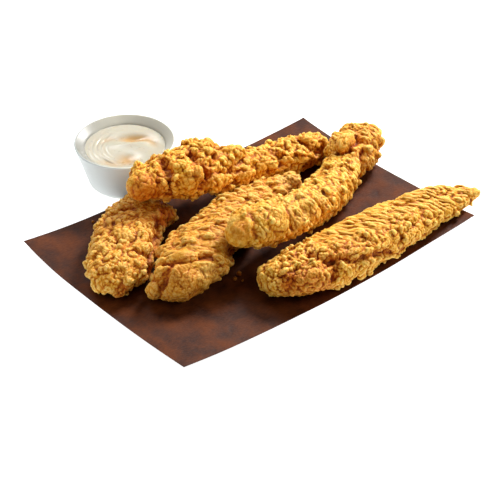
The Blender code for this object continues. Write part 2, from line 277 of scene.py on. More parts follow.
class Skin:
    """A mesh whose vertices are read and moved as one array."""

    def __init__(self, mesh: Mesh) -> None:
        """Keeps the mesh and reads its vertices and edges.

        Args:
            mesh: The mesh.
        """
        self.mesh = mesh
        self.places = np.empty((len(mesh.vertices), 3))
        mesh.vertices.foreach_get("co", self.places.ravel())
        self.edges = np.empty((len(mesh.edges), 2), dtype=np.int32)
        mesh.edges.foreach_get("vertices", self.edges.ravel())

    def normals(self) -> Array:
        """The outward direction at each vertex.

        Returns:
            Rows of length 1.
        """
        found = np.empty((len(self.places), 3))
        self.mesh.vertex_normals.foreach_get("vector", found.ravel())
        return found

    def even_normals(self, rounds: int) -> Array:
        """The outward directions, averaged with their neighbours in rounds, so without small relief."""
        normals = blurred(self.normals(), self.edges, rounds)
        return normals / np.maximum(np.linalg.norm(normals, axis=1), 0.01)[:, None]

    def seen_from(self, place: Matrix) -> Array:
        """The vertices' places as seen from a turned and moved place."""
        return (self.places - np.array(place.translation)) @ np.array(place.to_3x3())

    def write(self) -> None:
        """Puts the moved places back into the mesh."""
        self.mesh.vertices.foreach_set("co", self.places.ravel())
        self.mesh.update()

    def smooth(self, rounds: int) -> None:
        """Evens the skin out, averaging each vertex with its neighbours in rounds."""
        self.places = blurred(self.places, self.edges, rounds)
        self.write()

    def push(self, amounts: Array) -> None:
        """Moves each vertex along its own outward direction by an amount in metres."""
        self.places += self.normals() * amounts[:, None]
        self.write()

    def rest_on_paper(self, gap: float) -> None:
        """Presses the underside flat over the sheet.

        Args:
            gap: Height of the underside over the paper in metres.
        """
        floor = PaperSheet.top(self.places[:, 0], self.places[:, 1]) + gap
        self.places[:, 2] = np.maximum(self.places[:, 2], floor)
        self.write()

    def store(self, name: str, values: Array) -> None:
        """Keeps one number for each vertex under a name, for the mesh's material."""
        made = self.mesh.attributes.new(name, "FLOAT", "POINT")
        made.data.foreach_set("value", values.astype(np.float32))

    def standing_out(self, rounds: int) -> Array:
        """How far each vertex stands out of the skin averaged in rounds, in metres."""
        level = blurred(self.places, self.edges, rounds)
        return np.einsum("ij,ij->i", self.places - level, self.normals())


def as_mesh(bm: bmesh.types.BMesh, name: str) -> Mesh:
    """Turns a finished bmesh into a mesh.

    Args:
        bm: The bmesh, which is freed.
        name: The mesh's name.

    Returns:
        The mesh.
    """
    mesh = bpy.data.meshes.new(name)
    bm.to_mesh(mesh)
    bm.free()
    return mesh


def in_scene(name: str, data: bpy.types.ID) -> Object:
    """Puts a mesh, light or camera in the scene.

    Args:
        name: The object's name.
        data: What it shows.

    Returns:
        The object.
    """
    made = bpy.data.objects.new(name, data)
    bpy.context.scene.collection.objects.link(made)
    return made


def fused(name: str, mesh: Mesh, voxel: float) -> Mesh:
    """Fuses what overlaps in a mesh into one skin of even small faces.

    Args:
        name: Name of the new mesh.
        mesh: The mesh, which is removed.
        voxel: Width of the new faces in metres.

    Returns:
        The new mesh.
    """
    holder = in_scene(name, mesh)
    remesh = holder.modifiers.new("fuse", "REMESH")
    remesh.mode = "VOXEL"
    remesh.voxel_size = voxel
    graph = bpy.context.evaluated_depsgraph_get()
    made = bpy.data.meshes.new_from_object(holder.evaluated_get(graph))
    made.name = name
    bpy.data.objects.remove(holder, do_unlink=True)
    bpy.data.meshes.remove(mesh)
    return made


def drop_scraps(mesh: Mesh) -> None:
    """Removes every loose scrap and sealed bubble, leaving the largest connected skin.

    Args:
        mesh: The mesh to clean.
    """
    bm = bmesh.new()
    bm.from_mesh(mesh)
    unseen = set(bm.verts)
    groups = []
    while unseen:
        group = [unseen.pop()]
        for vertex in group:
            for edge in vertex.link_edges:
                other = edge.other_vert(vertex)
                if other in unseen:
                    unseen.remove(other)
                    group.append(other)
        groups.append(group)
    groups.sort(key=len)
    scraps = [vertex for group in groups[:-1] for vertex in group]
    bmesh.ops.delete(bm, geom=scraps, context="VERTS")
    bm.to_mesh(mesh)
    bm.free()


def add_piece(mesh: Mesh, material: Material, name: str, slot: str, *nodes: str) -> Object:
    """Dresses a finished mesh and puts it in the scene as a piece of the object.

    Args:
        mesh: The mesh, with its place in it.
        material: Its material.
        name: The piece's name.
        slot: Not used.
        *nodes: The solids that the piece stands for.

    Returns:
        The new object.
    """
    mesh.materials.clear()
    mesh.materials.append(material)
    mesh.shade_smooth()
    made = in_scene(name, mesh)
    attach(made, BODY)
    if nodes:
        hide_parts(*nodes)
    return made


class Recipe:
    """A material's node tree, filled in step by step."""

    def __init__(self, name: str) -> None:
        """Starts a principled material.

        Args:
            name: The material's name.
        """
        self.material = bpy.data.materials.new(name)
        self.material.use_nodes = True
        self.tree = self.material.node_tree
        self.shader = self.tree.nodes["Principled BSDF"]
        self.place = self.add("ShaderNodeTexCoord").outputs["Object"]

    def add(self, kind: str, **settings: object) -> bpy.types.Node:
        """Adds a node.

        Args:
            kind: The node's type.
            **settings: Its properties.

        Returns:
            The node.
        """
        node = self.tree.nodes.new(kind)
        for key, value in settings.items():
            setattr(node, key, value)
        return node

    def join(self, source: Value, socket: Socket) -> None:
        """Links an output to an input, or sets the input to a plain value.

        Args:
            source: An output socket, a number or a colour.
            socket: The input.
        """
        if isinstance(source, Socket):
            self.tree.links.new(source, socket)
        else:
            socket.default_value = source

    def attribute(self, name: str) -> Socket:
        """Reads a number that is stored on the mesh under a name."""
        return self.add("ShaderNodeAttribute", attribute_name=name).outputs["Fac"]

    def noise(self, scale: float, detail: float = 3.0, stretch: Triple = (1, 1, 1)) -> Socket:
        """Adds a cloudy pattern.

        Args:
            scale: Number of clouds in a metre.
            detail: How many finer layers it has.
            stretch: How much closer the pattern is along each direction.

        Returns:
            The output with the pattern, about 0.5 on average.
        """
        mapping = self.add("ShaderNodeMapping")
        mapping.inputs["Scale"].default_value = stretch
        self.join(self.place, mapping.inputs["Vector"])
        node = self.add("ShaderNodeTexNoise")
        self.join(mapping.outputs["Vector"], node.inputs["Vector"])
        node.inputs["Scale"].default_value = scale
        node.inputs["Detail"].default_value = detail
        return node.outputs["Fac"]

    def graded(self, value: Value, stops: dict[float, Colour]) -> Socket:
        """Turns a number into a colour.

        Args:
            value: The output with the number.
            stops: Colours by the number at which they stand.

        Returns:
            The output with the colour.
        """
        node = self.add("ShaderNodeValToRGB")
        ramp = node.color_ramp
        for _ in range(len(stops) - 2):
            ramp.elements.new(0.5)
        for element, (position, colour) in zip(ramp.elements, sorted(stops.items())):
            element.position = position
            element.color = colour
        self.join(value, node.inputs["Fac"])
        return node.outputs["Color"]

    def scaled(self, value: Value, low: float, high: float, start: float = 0.0, end: float = 1.0) -> Socket:
        """Maps a number from one range to another, held at the ends.

        Args:
            value: The output with the number.
            low: Start of its own range.
            high: End of its own range.
            start: What low becomes.
            end: What high becomes.

        Returns:
            The output with the new number.
        """
        node = self.add("ShaderNodeMapRange")
        self.join(value, node.inputs["Value"])
        for name, number in (("From Min", low), ("From Max", high), ("To Min", start), ("To Max", end)):
            node.inputs[name].default_value = number
        return node.outputs["Result"]

    def mixed(self, share: Value, first: Value, second: Value, blend: str = "MIX") -> Socket:
        """Mixes two colours.

        Args:
            share: How much of the second, as a number or an output.
            first: The colour beneath.
            second: The colour laid over it.
            blend: Blender's name for how it is laid.

        Returns:
            The output with the colour.
        """
        node = self.add("ShaderNodeMix", data_type="RGBA", blend_type=blend)
        self.join(share, node.inputs[0])
        self.join(first, node.inputs[6])
        self.join(second, node.inputs[7])
        return node.outputs[2]

    def tinted(self, colour: Value, tint: Value, share: float = 1.0) -> Socket:
        """Darkens a colour by a see-through tint, fully or by a share."""
        return self.mixed(share, colour, tint, "MULTIPLY")

    def bump(self, height: Value, depth: float) -> None:
        """Roughens the surface by a fine pattern, over any earlier one.

        Args:
            height: The output with the pattern.
            depth: Its depth in metres.
        """
        node = self.add("ShaderNodeBump")
        node.inputs["Distance"].default_value = depth
        self.join(height, node.inputs["Height"])
        earlier = self.shader.inputs["Normal"].links
        if earlier:
            self.join(earlier[0].from_socket, node.inputs["Normal"])
        self.join(node.outputs["Normal"], self.shader.inputs["Normal"])

    def set(self, **values: Value) -> None:
        """Fills the shader's own inputs, by their names with _ for a space."""
        for key, value in values.items():
            self.join(value, self.shader.inputs[key.replace("_", " ")])


@dataclass(frozen=True)
class CrustFinish:
    """Fried batter: pale gold on its crests and brown in its cracks, partly its own browning and partly
    painted highlight and painted shade, with browner and floury patches and painted shade in its broad
    hollows.
    """

    name: str
    crest: Colour = linear(255, 214, 108)
    body: Colour = linear(236, 170, 46)
    crack: Colour = linear(204, 116, 0)
    pit: Colour = linear(156, 72, 0)
    browned: Colour = linear(226, 178, 100)
    brown_and_shade_tint: Colour = linear(214, 154, 70)
    floury: Colour = linear(240, 202, 116)
    # Painted shade for the broad hollows
    hollow_shade: Colour = (0.55, 0.42, 0.30, 1.0)
    speck: Colour = (0.8, 0.8, 0.8, 1.0)
    oil: Colour = (1.0, 0.8, 0.45, 1.0)
    cast: Colour = WHITE
    browning: float = 0.3
    flour: float = 0.25

    def make(self) -> Material:
        """Builds the material.

        Returns:
            The material.
        """
        recipe = Recipe(self.name)
        raised = recipe.attribute("raised")
        zone = recipe.attribute("tone")
        # Darker in the small cracks and paler on the crests: partly the batter's own browning, partly
        # painted shade and painted highlight
        grade = recipe.graded(raised, {0.0: self.pit, 0.3: self.crack, 0.55: self.body, 0.85: self.crest})
        patches = recipe.scaled(recipe.noise(95, 3), 0.42, 0.68, 0.0, self.browning)
        tone = recipe.mixed(patches, grade, recipe.tinted(grade, self.browned))
        flour = recipe.scaled(recipe.noise(140, 4), 0.55, 0.72, 0.0, self.flour)
        tone = recipe.mixed(flour, tone, self.floury)
        # Paler where the tone is above 0: floury zones, and painted light on the forked tender's middle
        tone = recipe.mixed(recipe.scaled(zone, 0, 1, 0.0, 0.6), tone, self.floury)
        # Darker where the tone is below 0: browning, and painted shade along the cracks and under the back
        # tender
        brown = recipe.tinted(tone, self.brown_and_shade_tint)
        tone = recipe.mixed(recipe.scaled(zone, -1, 0, 1.0, 0.0), tone, brown)
        # Painted shade: darker in the broad hollows, by the broad relief
        depth = recipe.graded(recipe.attribute("fold"), {0.0: self.hollow_shade, 0.5: WHITE})
        tone = recipe.tinted(tone, depth, 0.8)
        speckle = recipe.scaled(recipe.noise(1500, 2), 0.35, 0.65, 0.86, 1.1)
        tone = recipe.tinted(tone, recipe.graded(speckle, {0.8: self.speck, 1.0: WHITE}))
        recipe.set(
            Base_Color=recipe.tinted(tone, self.cast),
            Roughness=recipe.scaled(recipe.noise(500, 2), 0.3, 0.7, 0.42, 0.68),
            Subsurface_Weight=0.12,
            Subsurface_Scale=1.2 * MM,
            Subsurface_Radius=(1.0, 0.45, 0.18),
            Specular_IOR_Level=0.3,
            Specular_Tint=self.oil,
        )
        recipe.bump(recipe.noise(1300, 3), 0.35 * MM)
        return recipe.material


@dataclass(frozen=True)
class PaperFinish:
    """Brown wrapping paper: mottled fibres and a faint sheen."""

    dark: Colour = linear(48, 17, 3)
    light: Colour = linear(98, 47, 12)

    def make(self) -> Material:
        """Builds the material.

        Returns:
            The material.
        """
        recipe = Recipe("brown paper")
        mottle = recipe.scaled(recipe.noise(70, 5), 0.35, 0.65)
        fibre = recipe.scaled(recipe.noise(420, 3, (1.0, 3.2, 1.0)), 0.35, 0.65)
        tone = recipe.mixed(mottle, self.dark, self.light)
        recipe.set(
            Base_Color=recipe.mixed(0.25, tone, recipe.mixed(fibre, self.dark, self.light)),
            Roughness=recipe.scaled(mottle, 0, 1, 0.56, 0.7),
            Specular_IOR_Level=0.15,
        )
        recipe.bump(fibre, 0.05 * MM)
        recipe.bump(mottle, 0.25 * MM)
        return recipe.material


@dataclass(frozen=True)
class GlazeFinish:
    """White glaze with faint unevenness. Its inner wall is painted darker and warmer than the outside, as
    shade and light bounced off the dip, and darker still on the side that faces the key light, as painted
    shade.
    """

    # Painted shade and painted bounce light from the dip: the inner wall's colour, darker and warmer than
    # the outside's
    inside: Colour = linear(210, 207, 193)
    # Painted shade for the inner wall's side that faces the key light
    lit_side_shade: Colour = linear(132, 131, 123)
    outside: Colour = linear(228, 235, 234)
    shade: Colour = linear(222, 229, 227)

    def make(self) -> Material:
        """Builds the material.

        Returns:
            The material.
        """
        recipe = Recipe("white glaze")
        cloud = recipe.noise(45, 3)
        outer = recipe.mixed(cloud, self.outside, self.shade)
        # Painted shade: the inner wall darkens where it faces the key light
        inner = recipe.mixed(recipe.attribute("lit_side_shading"), self.inside, self.lit_side_shade)
        recipe.set(
            Base_Color=recipe.mixed(recipe.attribute("inside"), outer, inner),
            Roughness=recipe.scaled(cloud, 0.3, 0.7, 0.34, 0.42),
            Specular_IOR_Level=0.3,
            Subsurface_Weight=0.2,
            Subsurface_Scale=2.0 * MM,
            Subsurface_Radius=(1.0, 1.0, 1.0),
            Coat_Weight=0.1,
            Coat_Roughness=0.25,
        )
        recipe.bump(recipe.noise(160, 2), 0.04 * MM)
        return recipe.material


@dataclass(frozen=True)
class DipFinish:
    """Creamy dip: soft, a little shiny, with tan flecks, and tan in its hollows as painted shade."""

    crest: Colour = linear(186, 179, 160)
    # Tan: the flecks' colour, and painted shade in the hollows
    hollow: Colour = linear(188, 150, 98)

    def make(self) -> Material:
        """Builds the material.

        Returns:
            The material.
        """
        recipe = Recipe("creamy dip")
        fleck = recipe.scaled(recipe.noise(900, 2), 0.66, 0.74, 0.0, 0.35)
        # Painted shade: tan in the hollows, pale on the raised cream
        tone = recipe.graded(recipe.attribute("raised"), {0.0: self.hollow, 0.55: self.crest})
        recipe.set(
            Base_Color=recipe.mixed(fleck, tone, self.hollow),
            Roughness=recipe.scaled(recipe.noise(300, 2), 0.3, 0.7, 0.26, 0.38),
            Subsurface_Weight=0.4,
            Subsurface_Scale=3.0 * MM,
            Subsurface_Radius=(1.0, 0.7, 0.4),
            Coat_Weight=0.2,
            Coat_Roughness=0.2,
        )
        recipe.bump(recipe.noise(700, 3), 0.06 * MM)
        return recipe.material


@dataclass(frozen=True)
class FloorFinish:
    """The studio table's pale surface."""

    colour: Colour = (0.35, 0.35, 0.35, 1.0)
    glow: float = 1.0

    def make(self) -> Material:
        """Builds the material.

        Returns:
            The material.
        """
        recipe = Recipe("studio floor")
        recipe.set(
            Base_Color=self.colour,
            Roughness=0.9,
            Specular_IOR_Level=0.1,
            Emission_Color=WHITE,
            Emission_Strength=self.glow,
        )
        return recipe.material


class Lay(Enum):
    """How the small batter lies: its length along its direction and across it, against its size."""

    NODULES = (1.0, 1.0)
    FOLDS = (2.0, 1.0)
    RIPPLES = (3.6, 0.85)
    BANDS = (1.0, 1.35)

    def drawn_out(self, points: Array, direction: float) -> Array:
        """Squeezes space the batter's way, so that patterns come out drawn along or across it.

        Args:
            points: Places in metres.
            direction: The batter's direction in degrees.

        Returns:
            The squeezed places.
        """
        turn = math.radians(direction)
        along = np.array((math.cos(turn), math.sin(turn), 0.0))
        part = (points @ along)[:, None] * along
        return part / self.value[0] + (points - part) / self.value[1]


class Batter(Enum):
    """The forms of small batter: winding folds, or round lumps side by side."""

    FOLDED = "folded"
    LUMPED = "lumped"


class Draw(IntEnum):
    """What each random pattern of a tender adds to the tender's seed."""

    BATTER = 1
    CRAG_LUMP = 9
    CALM = 20
    LEAN = 30
    BEND = 50
    CRACK_DEPTH = 60


@dataclass(frozen=True)
class Knob:
    """A knob or flake fused on, as a turned ellipsoid, in mm and degrees."""

    place: Triple
    radii: Triple
    turn: float = 0.0
    tilt: float = 0.0

    def shaped(self, ball: Array) -> Array:
        """Gives a ball the knob's size, turn and place.

        Args:
            ball: The vertices of a ball of radius 1.

        Returns:
            The knob's vertices in mm.
        """
        turn = Matrix.Rotation(math.radians(self.turn), 3, "Z")
        tilt = Matrix.Rotation(math.radians(self.tilt), 3, "Y")
        return (ball * np.array(self.radii)) @ np.array(turn @ tilt).T + np.array(self.place)


@dataclass(frozen=True)
class Crack:
    """A crease or dent along a line of places on the crust, in mm, and how far it is darkened, partly as
    browning and partly as painted shade.
    """

    line: tuple[Triple, ...]
    width: float = 1.8
    depth: float = 2.0
    brown: float = 0.5


@dataclass(frozen=True)
class Zone:
    """A soft-edged part of a tender with its own batter, in mm and degrees.

    Keep is the share of the batter's height that is left, and tone runs from -1, browned, to 1,
    floury; in a few zones the dark end is painted shadow and the pale end painted light.
    """

    place: Triple
    radii: Triple
    keep: float = 1.0
    tone: float = 0.0
    lay: Lay | None = None
    direction: float = 0.0
    reach: float = 1.25
    steepness: float = 2.0

    def share(self, points: Array) -> Array:
        """How far places in metres belong to the zone, from 0 outside to 1 in its middle."""
        away = np.linalg.norm((points / MM - np.array(self.place)) / np.array(self.radii), axis=1)
        return eased(np.clip(self.steepness * (self.reach - away), 0, 1))


@dataclass(frozen=True)
class Layer:
    """One size of batter, from crack to crest, in mm, and how much of it calm patches take away."""

    batter: Batter
    size: float
    height: float
    bend: float = 1.0
    calm: float = 0.0


@dataclass
class Tender:
    """One tender: the form of its batter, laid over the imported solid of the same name.

    Lengths are in mm. A direction is in degrees, counted in plan from +X. Batter above its level, a
    share of its height, rises from the skin, and batter below it sinks in. A pair is a least and a
    greatest value, but for crack_bend, a size and an amount, and crack_clearance, how far nodules
    keep from wide cracks and a margin for all of them.
    """

    node: str
    seed: int
    finish: CrustFinish
    lay: Lay = Lay.NODULES
    direction: float = 0.0
    knobs: tuple[Knob, ...] = ()
    cracks: tuple[Crack, ...] = ()
    zones: tuple[Zone, ...] = ()
    voxel: float = 0.5
    core_voxel: float = 1.1
    core_rounds: int = 5
    crag_size: float = 12.0
    crag_bend: float = 3.5
    crag_height: float = 1.7
    nodule_gap: float = 7.5
    nodule_radius: Pair = (1.2, 3.4)
    layers: tuple[Layer, ...] = (
        Layer(Batter.FOLDED, size=6.5, height=1.0, bend=1.8),
        Layer(Batter.LUMPED, size=4.0, height=0.8, bend=1.2, calm=0.5),
        Layer(Batter.FOLDED, size=2.9, height=0.6, bend=0.8, calm=0.4),
        Layer(Batter.FOLDED, size=1.5, height=0.28, bend=0.4, calm=0.5),
    )
    level: float = 0.55
    lean: float = 0.5
    shrink: float = 0.8
    paper_gap: float = 0.1
    calm_size: float = 9.0
    crack_bend: Pair = (6.0, 1.4)
    crack_clearance: Pair = (2.2, 0.8)
    uneven_size: float = 5.0
    even_rounds: int = 12
    layer_rounds: int = 5
    fine_rounds: int = 14
    wide_rounds: int = 110
    nodule_smallness: float = 1.6
    nodule_widths: Pair = (0.75, 1.35)
    nodule_heights: Pair = (0.5, 0.85)
    nodule_sinking: Pair = (-0.3, 0.2)
    nodule_tilt: float = 0.25
    free_turn: float = 180
    held_turn: float = 28
    lip_height: float = 0.12
    lip_place: float = 2.0
    lip_width: float = 0.8
    # Width of the darkening along cracks, partly browning and partly painted shade
    crack_darkening_width: float = 1.2
    fine_relief: float = 0.35
    wide_relief: float = 1.3

    def build(self) -> Object:
        """Makes the tender's crust and dresses it.

        Returns:
            The finished piece.
        """
        mesh = fused(self.node, self.with_lumps(self.core()), self.voxel * MM)
        drop_scraps(mesh)
        skin = Skin(mesh)
        skin.smooth(1)
        self.roughen(skin)
        skin.rest_on_paper(self.paper_gap * MM)
        self.measure(skin)
        return add_piece(mesh, self.finish.make(), self.node + "_crust", "crust", self.node)

    def core(self) -> Skin:
        """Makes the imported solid's form without its facets, a little smaller, with its large crags.

        Returns:
            The core's skin.
        """
        bm = bmesh.new()
        bm.from_mesh(bpy.data.objects[self.node].data)
        bmesh.ops.remove_doubles(bm, verts=bm.verts, dist=0.001 * MM)
        name = self.node + "_core"
        skin = Skin(fused(name, as_mesh(bm, name), self.core_voxel * MM))
        skin.smooth(self.core_rounds)
        points = self.bent(skin.places, self.crag_size, self.crag_bend)
        drawn = self.lay.drawn_out(points, self.direction)
        crag = billows(drawn, self.crag_size * MM, self.seed)
        lump, _ = pillows(drawn, 0.8 * self.crag_size * MM, self.seed + Draw.CRAG_LUMP)
        crag = 0.5 * (crag + lump)
        rise = (crag - self.level) * self.crag_height * self.kept(skin.places)
        skin.push((rise - self.shrink) * MM)
        self.crease(skin)
        skin.smooth(1)
        return skin

    def bent(self, points: Array, size: float, amount: float) -> Array:
        """Bends space by an amount in mm, differently over a size in mm, so that nothing runs straight."""
        return points + amount * MM * cloudy(points, size * MM, self.seed + Draw.BEND)

    def kept(self, points: Array) -> Array:
        """The share of the batter's height that the zones leave.

        Args:
            points: Places in metres.

        Returns:
            Shares from 0 to 1.
        """
        kept = np.ones(len(points))
        for zone in self.zones:
            kept *= 1 - (1 - zone.keep) * zone.share(points)
        return kept

    def off_cracks(self, points: Array, normals: Array) -> Iterator[tuple[Crack, Array]]:
        """Goes through the cracks, with how far places on a skin are from each.

        Args:
            points: Places in metres.
            normals: The skin's outward directions there, evened out.

        Returns:
            Each crack, and the distances in its own widths.
        """
        winding = self.bent(points, *self.crack_bend)
        for crack in self.cracks:
            yield crack, off_line(winding, normals, crack.line) / (crack.width * MM)

    def crease(self, skin: Skin) -> None:
        """Presses the cracks into the core, now deeper and now shallower, with low lips beside them.

        Args:
            skin: The core's skin.
        """
        normals = skin.even_normals(self.even_rounds)
        clouds = cloudy(skin.places, self.uneven_size * MM, self.seed + Draw.CRACK_DEPTH)[:, 0]
        uneven = 1 + 0.5 * clouds
        push = np.zeros(len(normals))
        for crack, away in self.off_cracks(skin.places, normals):
            lip = self.lip_height * np.exp(-(((away - self.lip_place) / self.lip_width) ** 2))
            push += crack.depth * MM * uneven * (lip - np.exp(-(away**2)))
        skin.places += normals * push[:, None]
        skin.write()

    def with_lumps(self, core: Skin) -> Mesh:
        """Adds the nodules of batter and the knobs to the core.

        Args:
            core: The core's skin, whose mesh is removed.

        Returns:
            One mesh of all these overlapping closed shapes.
        """
        bm = bmesh.new()
        bmesh.ops.create_icosphere(bm, subdivisions=2, radius=1)
        ball = np.array([vertex.co for vertex in bm.verts])
        faces = np.array([[vertex.index for vertex in face.verts] for face in bm.faces])
        bm.free()
        knobs = [knob.shaped(ball)[None] * MM for knob in self.knobs]
        lumps = np.concatenate([self.nodules(core, ball), *knobs])
        numbers = (faces[None] + (len(ball) * np.arange(len(lumps)))[:, None, None]).reshape(-1, 3)
        made = bpy.data.meshes.new("lumps")
        made.from_pydata(lumps.reshape(-1, 3).tolist(), [], numbers.tolist())
        joined = bmesh.new()
        for mesh in (core.mesh, made):
            joined.from_mesh(mesh)
            bpy.data.meshes.remove(mesh)
        return as_mesh(joined, self.node + "_lumps")

    def nodules(self, core: Skin, ball: Array) -> Array:
        """Scatters nodules of random sizes and turns over the core.

        Args:
            core: The core's skin.
            ball: The vertices of a ball of radius 1.

        Returns:
            The vertices of each nodule in metres.
        """
        random = np.random.default_rng(self.seed)
        normals = core.normals()
        chosen = self.nodule_places(core, normals, random)
        count = len(chosen)
        low, high = self.nodule_radius
        radius = (low + (high - low) * random.random(count) ** self.nodule_smallness) * MM
        shape = random.uniform(*self.nodule_widths, (count, 3))
        shape[:, 2] = random.uniform(*self.nodule_heights, count)
        shape[:, 0] *= self.lay.value[0] ** 0.7
        frames = self.frames(normals[chosen], random)
        raised = radius * random.uniform(*self.nodule_sinking, count)
        centres = core.places[chosen] + normals[chosen] * raised[:, None]
        scaled = ball[None, :, :] * (shape * radius[:, None])[:, None, :]
        return np.einsum("nij,nkj->nki", frames, scaled) + centres[:, None, :]

    def nodule_places(self, core: Skin, normals: Array, random: np.random.Generator) -> Array:
        """Chooses one vertex of the core in each cell of a grid, clear of calm zones and cracks.

        Args:
            core: The core's skin.
            normals: Its outward directions.
            random: The draw.

        Returns:
            The vertices' numbers.
        """
        order = random.permutation(len(core.places))
        cells = np.floor(core.places[order] / (self.nodule_gap * MM)).astype(int)
        _, first = np.unique(cells, axis=0, return_index=True)
        chosen = order[first]
        for zone in self.zones:
            if zone.keep < 0.8 or zone.lay is Lay.RIPPLES:
                chosen = chosen[zone.share(core.places[chosen]) < 0.5 * zone.keep]
        widest, margin = self.crack_clearance
        for crack in self.cracks:
            away = off_line(core.places[chosen], normals[chosen], crack.line)
            chosen = chosen[away > (min(0.7 * crack.width, widest) + margin) * MM]
        return chosen

    def frames(self, normals: Array, random: np.random.Generator) -> Array:
        """Turns for nodules: flat on the skin, and roughly along the batter's direction.

        Args:
            normals: Outward directions where the nodules are.
            random: The draw.

        Returns:
            One rotation matrix for each nodule.
        """
        spread = self.free_turn if self.lay is Lay.NODULES else self.held_turn
        turns = np.radians(self.direction + random.uniform(-spread, spread, len(normals)))
        along = np.stack([np.cos(turns), np.sin(turns), np.zeros(len(turns))], 1)
        out = normals + random.normal(0, self.nodule_tilt, normals.shape)
        out /= np.linalg.norm(out, axis=1)[:, None]
        side = np.cross(out, along)
        side /= np.maximum(np.linalg.norm(side, axis=1), 0.05)[:, None]
        along = np.cross(side, out)
        return np.stack([along, side, out], axis=2)

    def roughen(self, skin: Skin) -> None:
        """Raises the small batter, layer by layer, leaning now one way and now another.

        Args:
            skin: The fused skin.
        """
        for number, layer in enumerate(self.layers):
            seed = self.seed + number
            normals = skin.even_normals(self.layer_rounds)
            share = self.rise(skin.places, layer, seed, self)
            for zone in self.zones:
                if zone.lay:
                    other = self.rise(skin.places, layer, seed, zone)
                    share = share + zone.share(skin.places) * (other - share)
            clouds = cloudy(skin.places, self.calm_size * MM, seed + Draw.CALM)[:, 0]
            calm = 1 - layer.calm * np.clip(0.5 + 1.6 * clouds, 0, 1)
            kept = self.kept(skin.places) ** min(1.0, layer.size / 4)
            height = layer.height * MM * calm * kept * (share - self.level)
            lean = cloudy(skin.places, 2.5 * layer.size * MM, seed + Draw.LEAN)
            lean -= np.einsum("ij,ij->i", lean, normals)[:, None] * normals
            skin.places += (normals + self.lean * lean) * height[:, None]
            skin.write()

    def rise(self, points: Array, layer: Layer, seed: int, part: "Tender | Zone") -> Array:
        """The share of the way up a layer's folds or lumps.

        Args:
            points: Places in metres.
            layer: The layer.
            seed: The layer's draw.
            part: The tender or the zone that says how the batter lies.

        Returns:
            Shares from 0 in cracks to 1 on crests.
        """
        bent = self.bent(points, 1.8 * layer.size, layer.bend)
        drawn = part.lay.drawn_out(bent, part.direction)
        if layer.batter is Batter.FOLDED or part.lay is Lay.RIPPLES:
            return billows(drawn, layer.size * MM, seed + Draw.BATTER)
        lump, lift = pillows(drawn, layer.size * MM, seed + Draw.BATTER)
        return lump * (0.45 + 0.55 * lift)

    def measure(self, skin: Skin) -> None:
        """Stores how far each place stands out, finely and widely, and its tone, for the colours, which
        paint shade into the hollows and cracks.

        Args:
            skin: The finished skin.
        """
        fine = skin.standing_out(self.fine_rounds) / (self.fine_relief * MM)
        wide = skin.standing_out(self.wide_rounds) / (self.wide_relief * MM)
        fold = np.clip(0.5 + 0.5 * wide, 0, 1)
        tone = np.zeros(len(fold))
        for zone in self.zones:
            tone += zone.tone * zone.share(skin.places)
        for crack, away in self.off_cracks(skin.places, skin.even_normals(self.even_rounds)):
            # Darker along each crack, more so in broad hollows: partly browning, partly painted shade
            tone -= crack.brown * np.exp(-((away / self.crack_darkening_width) ** 2)) * np.clip(1.3 - fold, 0, 1)
        # Fine relief: the material paints shade into the small cracks and highlight onto the crests, beside
        # the batter's own colour
        skin.store("raised", np.clip(0.5 + 0.42 * fine, 0, 1))
        # Broad relief: the material paints shade into the low places
        skin.store("fold", fold)
        skin.store("tone", np.clip(tone, -1, 1))


@dataclass(frozen=True)
class Corner:
    """A corner of the sheet: its side, how far it is cut short, its lift and the curl's reach, in mm."""

    side: tuple[int, int]
    short: Pair
    lift: float
    reach: Pair


